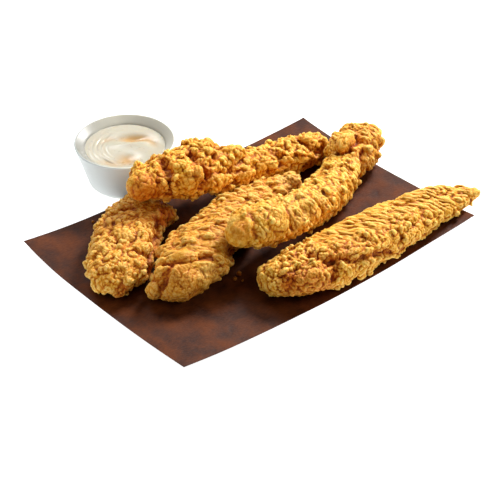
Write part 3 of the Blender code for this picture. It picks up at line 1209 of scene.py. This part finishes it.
@dataclass
class PaperSheet:
    """The brown paper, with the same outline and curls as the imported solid. Lengths are in metres."""

    length: float = 221 * MM
    width: float = 156 * MM
    packed_thickness: float = 0.4 * MM
    thickness: float = 0.22 * MM
    cells: tuple[int, int] = (150, 106)
    ripple: float = 0.12 * MM
    ripple_size: float = 22 * MM
    ripple_seed: int = 3
    sharp: float = math.radians(50)
    finish: PaperFinish = PaperFinish()
    corners: tuple[Corner, ...] = (
        Corner(side=(-1, 1), short=(1.0, -1.0), lift=4.5, reach=(80, 42)),
        Corner(side=(-1, -1), short=(4.0, 8.0), lift=5.0, reach=(100, 100)),
        Corner(side=(1, -1), short=(0.5, -0.5), lift=8.0, reach=(120, 115)),
        Corner(side=(1, 1), short=(-0.5, 1.5), lift=2.0, reach=(45, 45)),
    )
    wave_height: float = 0.8 * MM
    wave_length: float = 90 * MM
    wave_slant: float = 0.6

    @classmethod
    def outline(cls, u: Array, v: Array) -> tuple[Array, Array]:
        """Plan place of points at shares along and across the sheet.

        Args:
            u: Shares along it, from -1 to 1.
            v: Shares across it, from -1 to 1.

        Returns:
            Their x and y in metres.
        """
        x, y = u * cls.length / 2, v * cls.width / 2
        for corner in cls.corners:
            share = (1 + u * corner.side[0]) * (1 + v * corner.side[1]) / 4
            x = x - share * corner.side[0] * corner.short[0] * MM
            y = y - share * corner.side[1] * corner.short[1] * MM
        return x, y

    @classmethod
    def top(cls, x: Array, y: Array) -> Array:
        """Height of the sheet's upper face.

        Args:
            x: Places along X in metres.
            y: Places along Y in metres.

        Returns:
            Heights in metres.
        """
        height = np.full_like(x, cls.packed_thickness)
        wave = 0.5 + 0.5 * np.sin(math.tau * (x + cls.wave_slant * y) / cls.wave_length)
        for corner in cls.corners:
            tip = cls.outline(*np.array(corner.side, dtype=float))
            away = np.hypot((x - tip[0]) / corner.reach[0], (y - tip[1]) / corner.reach[1]) / MM
            near = np.maximum(0.0, 1 - away)
            height = height + corner.lift * MM * near**2 + cls.wave_height * wave * near
        return height

    def build(self) -> Object:
        """Makes the sheet and dresses it.

        Returns:
            The finished piece.
        """
        bm = bmesh.new()
        bmesh.ops.create_grid(bm, x_segments=self.cells[0], y_segments=self.cells[1], size=1)
        shares = np.array([vertex.co for vertex in bm.verts])
        x, y = self.outline(shares[:, 0], shares[:, 1])
        places = np.stack([x, y, self.top(x, y)], 1)
        clouds = cloudy(places, self.ripple_size, self.ripple_seed)[:, 0]
        places[:, 2] -= self.ripple * np.clip(clouds, 0, 1)
        for vertex, place in zip(bm.verts, places):
            vertex.co = place
        grown = bmesh.ops.extrude_face_region(bm, geom=list(bm.faces))
        lowered = [item for item in grown["geom"] if isinstance(item, bmesh.types.BMVert)]
        bmesh.ops.translate(bm, verts=lowered, vec=(0, 0, -self.thickness))
        bmesh.ops.recalc_face_normals(bm, faces=bm.faces)
        mesh = as_mesh(bm, "brown_paper")
        piece = add_piece(mesh, self.finish.make(), "brown_paper", "paper", "paper_sheet")
        mesh.set_sharp_from_angle(angle=self.sharp)
        return piece


@dataclass
class SaucePot:
    """The glazed pot and its place. Lengths are in metres."""

    centre: Pair = (-20 * MM, 97 * MM)
    height: float = 29 * MM
    rim_radius: float = 31.4 * MM
    foot_radius: float = 23.4 * MM
    flare: float = 1.2 * MM
    heel: float = 4.5 * MM
    wall: float = 5.5 * MM
    lip: float = 0.8 * MM
    brim: float = 3.7 * MM
    floor: float = 3.2 * MM
    bowl_corner: float = 5 * MM
    ring_width: float = 2.4 * MM
    ring_edge: float = 0.4 * MM
    ring_flat: float = 1.6 * MM
    hollow: float = 0.8 * MM
    step: float = 0.7 * MM
    glaze_edge: float = 1.2 * MM
    segments: int = 160
    finish: GlazeFinish = GlazeFinish()
    brim_foot: tuple[Pair, ...] = ((0.9, 1.1), (0.2, 0.35), (-0.6, 0.05))
    # The side that faces the key light, where the inner wall is painted darker
    lit_side: Pair = (-0.86, 0.5)

    def place(self) -> Matrix:
        """Where the pot stands: leaned back a little, because its foot's front is on the sheet.

        Returns:
            The place.
        """
        lean = math.asin(self.step / (2 * self.foot_radius))
        moved = Matrix.Translation((*self.centre, self.step / 2))
        return moved @ Matrix.Rotation(-lean, 4, "X")

    def outer_radius(self, height: float | Array) -> float | Array:
        """Radius of the pot's outside.

        Args:
            height: Height above its foot, or several.

        Returns:
            The radius in metres.
        """
        start = self.foot_radius + self.flare
        share = (height - self.heel) / (self.height - self.heel)
        return start + (self.rim_radius - start) * share

    def inner_radius(self, height: float) -> float:
        """Radius of the pot's inside, below its sloped brim, at a height above its foot."""
        return self.outer_radius(height) - self.wall

    @staticmethod
    def arc(centre: Pair, radius: float, start: float, end: float, steps: int) -> list[Pair]:
        """Points of a round corner in a turned profile.

        Args:
            centre: The arc's middle, as radius and height.
            radius: Its radius.
            start: Its first angle in degrees.
            end: Its last angle in degrees.
            steps: Number of stretches.

        Returns:
            The points, as radius and height.
        """
        angles = [math.radians(start + (end - start) * k / steps) for k in range(steps + 1)]
        return [(centre[0] + radius * math.cos(a), centre[1] + radius * math.sin(a)) for a in angles]

    def bowl(self, radius: float, start: float, end: float, steps: int) -> list[Pair]:
        """Points of the round corner between the pot's wall and floor inside.

        Args:
            radius: The arc's radius.
            start: Its first angle in degrees.
            end: Its last angle in degrees.
            steps: Number of stretches.

        Returns:
            The points, as radius and height.
        """
        base = self.floor + self.bowl_corner
        return self.arc((self.inner_radius(base) - self.bowl_corner, base), radius, start, end, steps)

    def profile(self) -> list[Pair]:
        """The pot's half section, from the middle of its underside to the middle of its inside.

        Returns:
            Points as radius and height.
        """
        foot, ring, edge = self.foot_radius, self.foot_radius - self.ring_width, self.ring_edge
        under = [(0, self.hollow), (ring - edge, self.hollow)]
        foot_ring = self.arc((ring + edge, edge), edge, 180, 270, 4)
        outer = self.arc((foot + self.flare - self.heel, self.heel), self.heel, -62, -8, 8)
        rim = self.arc((self.rim_radius - self.lip, self.height - self.lip), self.lip, 0, 126, 9)
        brim = self.height - self.brim
        for rise, out in self.brim_foot:
            rim.append((self.inner_radius(brim + rise * MM) + out * MM, brim + rise * MM))
        inner = self.bowl(self.bowl_corner, 0, -90, 8)
        return under + foot_ring + [(foot - self.ring_flat, 0)] + outer + rim + inner + [(0, self.floor)]

    def turned(self, name: str, profile: list[Pair]) -> Mesh:
        """Turns a profile into a closed mesh that stands in the pot's place.

        Args:
            name: The mesh's name.
            profile: Points as radius and height.

        Returns:
            The mesh.
        """
        bm = bmesh.new()
        points = [bm.verts.new((radius, 0, height)) for radius, height in profile]
        edges = [bm.edges.new(pair) for pair in zip(points, points[1:])]
        bmesh.ops.spin(
            bm,
            geom=points + edges,
            cent=(0, 0, 0),
            axis=(0, 0, 1),
            angle=math.tau,
            steps=self.segments,
            use_merge=True,
        )
        bmesh.ops.remove_doubles(bm, verts=bm.verts, dist=0.002 * MM)
        bmesh.ops.recalc_face_normals(bm, faces=bm.faces)
        bm.transform(self.place())
        return as_mesh(bm, name)

    def build(self) -> Object:
        """Makes the pot and dresses it, with its inside marked, and the inner side that faces the key light
        marked for painted shade.

        Returns:
            The finished piece.
        """
        mesh = self.turned("glazed_pot", self.profile())
        skin = Skin(mesh)
        x, y, height = skin.seen_from(self.place()).T
        away = np.hypot(x, y)
        depth = self.outer_radius(height) - away
        lit = (self.lit_side[0] * x + self.lit_side[1] * y) / np.maximum(away, MM)
        skin.store("inside", np.clip(depth / self.glaze_edge, 0, 1))
        # Painted shade: how far each place faces the key light, to darken the inner wall there
        skin.store("lit_side_shading", np.clip((lit - 0.1) / 0.8, 0, 1))
        return add_piece(mesh, self.finish.make(), "glazed_pot", "glaze", "sauce_pot")


@dataclass(frozen=True)
class Stroke:
    """A spoon's mark in the dip, as a soft oval: shares of the dip's radius, degrees, and mm."""

    right: float
    away: float
    length: float
    width: float
    turn: float
    height: float

    def relief(self, right: Array, away: Array) -> Array:
        """The mark's height.

        Args:
            right: Shares of the dip's radius to the picture's right of its middle.
            away: Shares of the dip's radius away from the camera.

        Returns:
            Heights in metres.
        """
        turn = math.radians(self.turn)
        u, v = right - self.right, away - self.away
        along = (u * math.cos(turn) + v * math.sin(turn)) / self.length
        across = (v * math.cos(turn) - u * math.sin(turn)) / self.width
        return self.height * MM * np.exp(-(along**2 + across**2))


@dataclass
class CreamyDip:
    """The dip: solid from the pot's floor to its stirred top. Lengths are in metres.

    The arcs that the spoon left at the front left are placed in shares of the dip's radius and in
    degrees.
    """

    pot: SaucePot
    below_rim: float = 4.0 * MM
    corner: float = 5.1 * MM
    floor_lap: float = 0.1 * MM
    wall_lap: float = 0.25 * MM
    rings: int = 80
    turn: float = -40.36
    arc_centre: Pair = (0.12, -0.05)
    arc_gap: float = 0.11
    arc_start: float = 0.5
    arc_height: float = 0.45 * MM
    arc_direction: float = 205
    arc_spread: float = 60
    strokes: tuple[Stroke, ...] = (
        Stroke(right=0.22, away=0.36, length=0.34, width=0.16, turn=8, height=-2.1),
        Stroke(right=0.68, away=0.18, length=0.24, width=0.16, turn=-60, height=-1.2),
        Stroke(right=0.12, away=0.05, length=0.50, width=0.13, turn=8, height=1.1),
        Stroke(right=0.24, away=-0.22, length=0.45, width=0.20, turn=5, height=0.5),
        Stroke(right=0.12, away=-0.60, length=0.26, width=0.26, turn=0, height=-1.4),
        Stroke(right=-0.35, away=-0.78, length=0.34, width=0.12, turn=-20, height=-1.1),
        Stroke(right=-0.49, away=0.28, length=0.22, width=0.10, turn=40, height=-0.8),
        Stroke(right=-0.10, away=0.66, length=0.45, width=0.16, turn=4, height=0.4),
    )
    finish: DipFinish = DipFinish()

    def surface(self, x: Array, y: Array, radius: float) -> Array:
        """Height of the stirred top over its level.

        Args:
            x: Places from the pot's middle towards the sheet's far end.
            y: Places from the pot's middle towards the back.
            radius: The top's radius.

        Returns:
            Heights in metres.
        """
        turn = math.radians(self.turn)
        right = (x * math.cos(turn) + y * math.sin(turn)) / radius
        away = (y * math.cos(turn) - x * math.sin(turn)) / radius
        out = np.hypot(right - self.arc_centre[0], away - self.arc_centre[1])
        round_it = np.degrees(np.arctan2(away, right))
        off = np.abs((round_it - self.arc_direction + 180) % 360 - 180)
        arcs = np.abs(np.sin(math.pi * (out / self.arc_gap + round_it / 360))) ** 0.8 - 0.6
        height = self.arc_height * arcs * np.clip(1.5 - off / self.arc_spread, 0, 1)
        height = height * np.clip(4 * (out - self.arc_start), 0, 1)
        for stroke in self.strokes:
            height = height + stroke.relief(right, away)
        edge = np.hypot(x, y) / radius
        return height * np.clip(1 - edge**8, 0, 1)

    def build(self) -> Object:
        """Makes the dip and dresses it.

        Returns:
            The finished piece.
        """
        pot = self.pot
        level = pot.height - self.below_rim
        radius = pot.inner_radius(level) + self.wall_lap
        bottom = [(0, pot.floor - self.floor_lap)]
        side = pot.bowl(self.corner, -90, 0, 6)
        top = [(radius * (1 - k / self.rings), level) for k in range(self.rings + 1)]
        mesh = pot.turned("creamy_dip", bottom + side + top)
        place = pot.place()
        skin = Skin(mesh)
        local = skin.seen_from(place)
        on_top = local[:, 2] > level - 0.05 * MM
        rise = np.where(on_top, self.surface(local[:, 0], local[:, 1], radius), 0.0)
        local[:, 2] += rise
        skin.places = local @ np.array(place.to_3x3()).T + np.array(place.translation)
        skin.write()
        skin.store("raised", np.clip(0.6 + rise / (2.4 * MM), 0, 1))
        return add_piece(mesh, self.finish.make(), "creamy_dip", "dip", "dip")


@dataclass
class Crumbs:
    """Loose crumbs of crust on the paper, each with its place and radius. Lengths are in mm."""

    places: tuple[Triple, ...] = (
        (-28.8, -23.1, 1.5),
        (-33.6, -25.2, 1.2),
        (-64.0, 72.7, 0.9),
        (-31.0, -29.0, 0.7),
    )
    seed: int = 71
    lump_size: float = 1.1
    lump_height: float = 0.35
    paper_gap: float = 0.05
    finish: CrustFinish = CrustFinish("crumb crust", cast=(0.6, 0.55, 0.6, 1.0), browning=0.5)

    def build(self) -> Object:
        """Makes the crumbs and dresses them.

        Returns:
            The finished piece.
        """
        bm = bmesh.new()
        for x, y, radius in self.places:
            level = float(PaperSheet.top(np.array(x * MM), np.array(y * MM)))
            place = Matrix.Translation((x * MM, y * MM, level + 0.6 * radius * MM))
            bmesh.ops.create_icosphere(bm, subdivisions=4, radius=radius * MM, matrix=place)
        mesh = as_mesh(bm, "crumbs")
        skin = Skin(mesh)
        lump, _ = pillows(skin.places, self.lump_size * MM, self.seed)
        skin.push(self.lump_height * MM * (lump - 0.6))
        skin.rest_on_paper(self.paper_gap * MM)
        skin.store("raised", lump)
        skin.store("fold", np.full(len(lump), 0.5))
        skin.store("tone", np.full(len(lump), -0.5))
        return add_piece(mesh, self.finish.make(), "crumbs", "crust")


@dataclass(frozen=True)
class Lamp:
    """A square soft light that faces a place. Lengths are in metres, power is in watts.

    The way to it is given as the camera sees it: to the right, away over the floor, and up.
    """

    name: str
    way: Triple
    size: float
    power: float
    distance: float = 1.4
    colour: Triple = WHITE[:3]
    aim: Triple = FOOD


@dataclass
class Studio:
    """The floor, the lights and the camera. Lengths are in metres, directions in degrees."""

    azimuth: float = -40.36
    elevation: float = 37.5
    distance: float = 0.89
    lens: float = 108.0
    film: float = 36.0
    nearest: float = 0.01
    floor_size: float = 6.0
    floor_drop: float = 0.05 * MM
    ambient: float = 0.01
    floor_finish: FloorFinish = FloorFinish()
    lamps: tuple[Lamp, ...] = (
        Lamp("key", way=(0.58, 0.9, 0.78), size=0.4, power=33, colour=WARM),
        Lamp("back left", way=(-0.5, 0.9, 0.95), size=0.5, power=8.5),
        Lamp("side", way=(1.0, 0.0, 0.7), size=0.6, power=8, colour=WARM),
        Lamp("front", way=(-0.5, -1.0, 0.22), size=0.5, power=2.2, distance=1.6),
        Lamp("pot card", way=(-0.3, -0.9, 0.55), size=0.12, power=0.07, distance=0.2, aim=POT_MIDDLE),
    )

    def towards(self, right: float, away: float, up: float) -> Vector:
        """A direction given as the camera sees it.

        Args:
            right: Share to the picture's right.
            away: Share away from the camera, over the floor.
            up: Share upwards.

        Returns:
            The direction, of length 1.
        """
        turn = math.radians(self.azimuth)
        side = Vector((math.cos(turn), math.sin(turn), 0))
        ahead = Vector((-math.sin(turn), math.cos(turn), 0))
        return (side * right + ahead * away + Vector((0, 0, up))).normalized()

    @staticmethod
    def face(thing: Object, aim: Triple, way: Vector, distance: float) -> None:
        """Sets a light or a camera a distance from a place, in a direction, and faces it there."""
        thing.location = Vector(aim) + way * distance
        thing.rotation_euler = way.to_track_quat("Z", "Y").to_euler()

    def add_lamp(self, lamp: Lamp) -> None:
        """Adds a light, which the camera doesn't see.

        Args:
            lamp: What the light is like.
        """
        data = bpy.data.lights.new(lamp.name, "AREA")
        data.size = lamp.size
        data.energy = lamp.power
        data.color = lamp.colour
        light = in_scene(lamp.name, data)
        light.visible_camera = False
        self.face(light, lamp.aim, self.towards(*lamp.way), lamp.distance)

    def add_floor(self) -> None:
        """Adds the pale floor, which isn't part of the object."""
        bm = bmesh.new()
        bmesh.ops.create_grid(bm, x_segments=1, y_segments=1, size=self.floor_size)
        floor = in_scene("floor", as_mesh(bm, "floor"))
        floor.data.materials.append(self.floor_finish.make())
        floor.location = (0, 0, -self.floor_drop)

    def add_camera(self) -> None:
        """Adds the camera, as the photograph was taken."""
        data = bpy.data.cameras.new("camera")
        data.lens = self.lens
        data.sensor_width = self.film
        data.clip_start = self.nearest
        camera = in_scene("camera", data)
        lift = math.radians(self.elevation)
        self.face(camera, FOOD, self.towards(0, -math.cos(lift), math.sin(lift)), self.distance)
        bpy.context.scene.camera = camera

    def build(self) -> None:
        """Sets the studio up."""
        scene = bpy.context.scene
        scene.view_settings.view_transform = "Standard"
        world = bpy.data.worlds.new("studio")
        world.use_nodes = True
        background = world.node_tree.nodes["Background"]
        background.inputs["Color"].default_value = WHITE
        background.inputs["Strength"].default_value = self.ambient
        scene.world = world
        self.add_floor()
        for lamp in self.lamps:
            self.add_lamp(lamp)
        self.add_camera()


def back_tender() -> Tender:
    """Describes the tender at the back, with its two big knobs and its thin tail.

    Returns:
        The tender.
    """
    return Tender(
        node="tender_1",
        seed=11,
        finish=CrustFinish(
            "crust one",
            crest=linear(255, 208, 96),
            body=linear(234, 163, 38),
            browning=0.35,
            flour=0.15,
        ),
        crag_height=2.2,
        knobs=(
            Knob((-43, 49, 31.5), (10.5, 9.5, 9.3), turn=10),
            Knob((-18.5, 39, 30), (10.5, 9.5, 10.2), turn=-20),
            Knob((-12.5, 33.5, 35), (3.2, 5.5, 4.8), turn=-30),
            Knob((-34, 40.5, 31), (3.2, 3.4, 5.5), turn=-30),
            Knob((-2, 31.5, 24), (6, 4.5, 6.5)),
            Knob((22, 32.5, 17.5), (9.5, 4.5, 6), turn=-4),
            Knob((7, 53, 34.5), (8.5, 6, 6), turn=20),
            Knob((21, 45, 28), (10.5, 6.5, 6.5), turn=-25),
            Knob((54, 29, 15.5), (4.5, 3.5, 5.5)),
            Knob((77, 34, 19), (8.5, 3.8, 3.2), turn=-35, tilt=28),
        ),
        cracks=(
            Crack(
                ((-25, 52, 41), (-28.3, 44.4, 40), (-31, 39.4, 36.9), (-33, 37.5, 31), (-33, 36, 26)),
                width=2.6,
                depth=4.2,
                brown=0.9,
            ),
            Crack(
                ((-6.6, 50.7, 40.2), (-8, 43, 39.8), (-7.5, 36.4, 37.7), (-8, 31, 33), (-13, 28.5, 28)),
                width=2.3,
                depth=3.8,
                brown=0.9,
            ),
            Crack(
                ((-8.1, 31.4, 33.5), (-0.1, 30.8, 32), (8.8, 31.2, 27), (24.5, 30.2, 22.5)),
                width=1.8,
                depth=2.4,
                brown=0.6,
            ),
            Crack(((25, 40, 29.4), (23.6, 35.9, 27), (12, 33, 27.5)), 1.8, 2.0),
            Crack(((6.7, 43, 35.8), (3.7, 37.9, 35), (-6.1, 34.4, 36.1)), 1.8, 2.0),
            Crack(((47.5, 27.2, 18.3), (50.5, 30, 22), (49, 36, 26)), 2.0, 2.2, 0.6),
            Crack(((71, 36, 22.5), (73.6, 27.8, 19), (79.2, 24.9, 12.5)), 1.8, 1.8),
            Crack(((82, 27, 14), (78, 24, 9.5), (70, 23.5, 9)), 4.5, 2.2, 0.5),
        ),
        zones=(
            Zone((-44, 44, 30), (11, 9, 12), keep=0.8, tone=-0.65),
            Zone((-13, 32, 35), (4, 4, 5), keep=0.6, tone=-0.3),
            Zone((78, 33, 21), (8, 4, 4), keep=0.7),
        ),
    )


def left_tender() -> Tender:
    """Describes the tender at the left, shaped like a paddle.

    Returns:
        The tender.
    """
    return Tender(
        node="tender_2",
        seed=23,
        finish=CrustFinish("crust two", cast=(0.87, 0.84, 0.94, 1.0), browning=0.35),
        nodule_gap=6.0,
        nodule_radius=(1.0, 2.5),
        knobs=(
            Knob((-71.5, 29.5, 19), (5.2, 7.5, 4.5), turn=30),
            Knob((-68, 14.5, 16.3), (5.6, 4.6, 4.5), turn=10),
            Knob((-62, 26.5, 17), (4.2, 7, 4.6), turn=10),
            Knob((-87, 31, 16.8), (5.5, 5.5, 4.4), turn=0),
            Knob((-77, 43.5, 16), (4.2, 4.2, 3.8)),
        ),
        cracks=(
            Crack(((-65.6, 31.4, 22), (-68.2, 22.5, 22), (-75.5, 19, 21.4)), 1.5, 1.9, 0.4),
            Crack(((-74.9, 15, 21), (-73.6, 10.6, 20), (-68, 6.5, 17)), 1.5, 1.7, 0.4),
            # Painted shade: the dent along the gap to the middle tender is darkened in full
            Crack(
                ((-44.5, 30.7, 15.7), (-53.6, 20.8, 15.5), (-63.4, 10.9, 15), (-72, 3, 12)),
                width=3.4,
                depth=3.6,
                brown=1.0,
            ),
            Crack(((-79, 26, 21.5), (-77, 37, 20.5), (-70, 42, 20)), 1.5, 1.4, 0.3),
            Crack(((-70, 51.3, 18.5), (-62.3, 49.9, 20.4), (-51, 49.3, 18.5)), depth=1.6),
        ),
        zones=(
            Zone((-88, 31, 20), (5, 5, 5), keep=0.6, tone=0.25),
            Zone((-96, -1, 8), (5, 5, 6), keep=0.8, tone=-0.7),
            Zone((-71.5, 29, 22), (6, 7, 5), keep=0.7, tone=0.2),
            Zone((-58, 42, 18), (22, 9, 10), tone=-0.3, lay=Lay.FOLDS, direction=-10),
            # Painted shadow: the lobe under the back tender is darkened through its tone
            Zone((-33, 34, 14), (9, 10, 10), tone=-1.0),
        ),
        layers=(
            Layer(Batter.FOLDED, size=6.0, height=0.9, bend=2.0),
            Layer(Batter.LUMPED, size=2.9, height=0.7, bend=1.0, calm=0.3),
            Layer(Batter.FOLDED, size=2.2, height=0.45, bend=0.8, calm=0.3),
            Layer(Batter.FOLDED, size=1.4, height=0.24, bend=0.5, calm=0.5),
        ),
    )


def middle_tender() -> Tender:
    """Describes the tender with the folded crust.

    Returns:
        The tender.
    """
    return Tender(
        node="tender_3",
        seed=37,
        finish=CrustFinish("crust three", cast=(0.88, 0.83, 0.88, 1.0), browning=0.25),
        lay=Lay.FOLDS,
        direction=-35,
        nodule_gap=6.5,
        nodule_radius=(1.0, 2.7),
        layers=(
            Layer(Batter.FOLDED, size=5.2, height=0.8, bend=1.8),
            Layer(Batter.LUMPED, size=3.0, height=0.7, bend=1.0, calm=0.3),
            Layer(Batter.FOLDED, size=2.2, height=0.45, bend=0.8, calm=0.3),
            Layer(Batter.FOLDED, size=1.4, height=0.25, bend=0.5, calm=0.4),
        ),
        knobs=(
            Knob((-61, -12, 22), (9, 5.2, 5), turn=-30),
            Knob((-76, -11, 19), (4, 3.5, 4.2)),
            Knob((-82, -12, 9.5), (5, 5, 6)),
            Knob((-60, 6.5, 14.5), (5.5, 4.5, 5)),
        ),
        cracks=(
            Crack(
                ((-75, -4, 18), (-71, -12, 24), (-64, -17.2, 24.4), (-56, -17.5, 23.1), (-45, -21, 21.5)),
                width=1.5,
                depth=2.4,
                brown=0.9,
            ),
            Crack(((-71.5, -14, 24), (-76.3, -16, 20), (-80.4, -16.5, 14)), 1.3, 2.5, 0.6),
            Crack(((-66, 0, 19), (-58, 0, 23), (-50, -2, 25)), 1.5, 1.2, 0.3),
            # Painted shade: the dent along the gap to the left tender is darkened in full
            Crack(((-54.3, 15.8, 13), (-58.7, 12.5, 14), (-67.7, 4.6, 14.5), (-76, -1, 14)), 4.0, 4.6, 1.0),
            Crack(((-26.5, -17.8, 15), (-23, -18.5, 11), (-20.3, -13, 4)), 5.0, 4.0, 0.5),
        ),
        zones=(
            Zone((-61, -12, 26), (8, 5, 5), keep=0.55, tone=-0.15),
            Zone((45, 13, 14), (11, 9, 8), tone=0.3, lay=Lay.NODULES),
            Zone((-45, -16, 24), (18, 7, 9), keep=0.7, lay=Lay.RIPPLES, direction=-38),
            Zone((-74, -20, 13), (16, 12, 12), keep=0.7, tone=-0.3, lay=Lay.NODULES),
            Zone((-52, -33, 8), (22, 10, 10), tone=-0.3),
            Zone((-55, -28, 17), (9, 6, 7), keep=0.7, tone=0.35, lay=Lay.NODULES),
        ),
    )


def forked_tender() -> Tender:
    """Describes the tender with the forked head.

    Returns:
        The tender.
    """
    return Tender(
        node="tender_4",
        seed=41,
        finish=CrustFinish("crust four", browning=0.2),
        lay=Lay.BANDS,
        direction=8,
        crag_height=1.2,
        layers=(
            Layer(Batter.FOLDED, size=6.0, height=0.75, bend=1.8),
            Layer(Batter.LUMPED, size=3.4, height=0.75, bend=1.2, calm=0.4),
            Layer(Batter.FOLDED, size=2.5, height=0.5, bend=0.8, calm=0.3),
            Layer(Batter.FOLDED, size=1.4, height=0.26, bend=0.4, calm=0.4),
        ),
        knobs=(
            Knob((-26, -20, 27.5), (8.5, 9, 8.5)),
            Knob((20.5, -24.5, 27.5), (6.5, 5.5, 5)),
            Knob((10.5, -27, 28), (5, 5, 4.8)),
            Knob((88, 12.5, 23.5), (10, 6, 6.5), turn=25),
            Knob((105, 14, 19), (8, 7, 6), turn=30),
            Knob((104, 26, 19), (6.5, 6, 5.5)),
            Knob((98, 0, 11.5), (3.6, 3.2, 5.5)),
        ),
        cracks=(
            Crack(((-17.4, -19.5, 38), (-19.8, -27, 36), (-22, -31.5, 29)), 1.7, 1.5, 0.3),
            Crack(((5.9, -23.4, 35), (3.9, -30.8, 33), (2.9, -35.3, 26)), 1.4, 1.1, 0.2),
            Crack(((27.2, -19.7, 31.3), (27, -26, 30), (28.5, -32.3, 22)), 1.4, 1.3, 0.4),
            Crack(((50.8, -6.5, 26), (46, -18.8, 27), (50, -26.8, 19)), 1.4, 1.1, 0.2),
            Crack(((98, 13, 25), (96.7, 9.6, 24), (86, 7.3, 25), (78, 8.5, 23)), 1.9, 2.8, 0.7),
            Crack(((92, 0.5, 22), (88, -3, 19), (86, -7, 14)), 1.6, 3.0, 0.8),
            Crack(
                ((16, -36, 10), (29, -34, 12), (43, -30.5, 11), (55, -27, 10), (69, -20, 10)),
                width=7.0,
                depth=3.2,
                brown=0,
            ),
            Crack(((69, -20, 10), (80, -13, 11), (87, -7, 12)), 6.0, 3.4, 0),
        ),
        zones=(
            Zone((-29, -22, 31), (9, 10, 10), keep=0.35, lay=Lay.NODULES),
            Zone((-28, -24, 33), (6.5, 6, 6), tone=-0.4),
            Zone((-30, -14, 35), (6, 5, 5), tone=0.5),
            Zone((5, -30, 32), (4, 4, 4), keep=0.7, tone=-0.4),
            # Painted light: the front of the middle is made paler through its tone
            Zone((14, -24, 29), (26, 12, 12), tone=0.15),
            Zone((100, 8, 18), (16, 18, 16), tone=-0.25),
            Zone((88, 12.5, 27), (8, 6, 5), keep=0.7, lay=Lay.FOLDS, direction=20),
        ),
    )


def long_tender() -> Tender:
    """Describes the longest tender, which lies alone.

    Returns:
        The tender.
    """
    return Tender(
        node="tender_5",
        seed=59,
        finish=CrustFinish("crust five", cast=(1.02, 0.97, 0.94, 1.0), browning=0.2),
        nodule_gap=7.0,
        nodule_radius=(0.9, 2.9),
        layers=(
            Layer(Batter.FOLDED, size=5.5, height=1.1, bend=2.2),
            Layer(Batter.LUMPED, size=3.3, height=0.8, bend=1.2, calm=0.4),
            Layer(Batter.FOLDED, size=2.3, height=0.5, bend=0.8, calm=0.3),
            Layer(Batter.FOLDED, size=1.4, height=0.26, bend=0.4, calm=0.4),
        ),
        knobs=(
            Knob((-10, -64, 14.5), (12, 10, 7.5), turn=-12),
            Knob((62, -72, 13), (14, 5, 5), turn=4),
            Knob((90, -54.5, 16), (27, 7, 7), turn=-9, tilt=7),
            Knob((118.5, -65.2, 13.2), (8, 4.2, 3.8), turn=-22),
        ),
        cracks=(
            Crack(((-4.5, -55, 23), (-1, -65.5, 21.5), (3, -71, 19), (-2.3, -74, 15)), 1.9, 2.8, 0.7),
            Crack(((2, -67, 21), (12, -72.6, 20.5), (23.4, -75.6, 18.8), (41, -76.6, 13)), 1.9, 2.4, 0.7),
            Crack(((52, -77, 10), (70, -77.5, 9), (82, -75, 9)), 2.0, 2.2, 0.5),
        ),
        zones=(
            Zone((52, -52, 21), (46, 13, 14), lay=Lay.RIPPLES, direction=-52),
            Zone((-25, -60, 17), (6, 5, 5), tone=-0.4),
            Zone((-15, -66, 11), (17, 13, 11), tone=-0.6),
            Zone((12, -66, 22), (12, 6, 5), tone=-0.35),
            Zone((100, -60, 17), (24, 12, 10), lay=Lay.RIPPLES, direction=-48),
        ),
    )


def main() -> None:
    """Builds the studio and every piece."""
    logging.basicConfig(level=logging.INFO, format="%(name)s %(message)s")
    started = time.time()
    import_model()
    Studio().build()
    tenders = (back_tender(), left_tender(), middle_tender(), forked_tender(), long_tender())
    pot = SaucePot()
    for part in (*tenders, PaperSheet(), pot, CreamyDip(pot), Crumbs()):
        piece = part.build()
        passed = time.time() - started
        LOG.info("%s: %d faces, after %.0f s", piece.name, len(piece.data.polygons), passed)
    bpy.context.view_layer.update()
    LOG.info("built in %.0f s", time.time() - started)


if __name__ == "__main__":
    main()
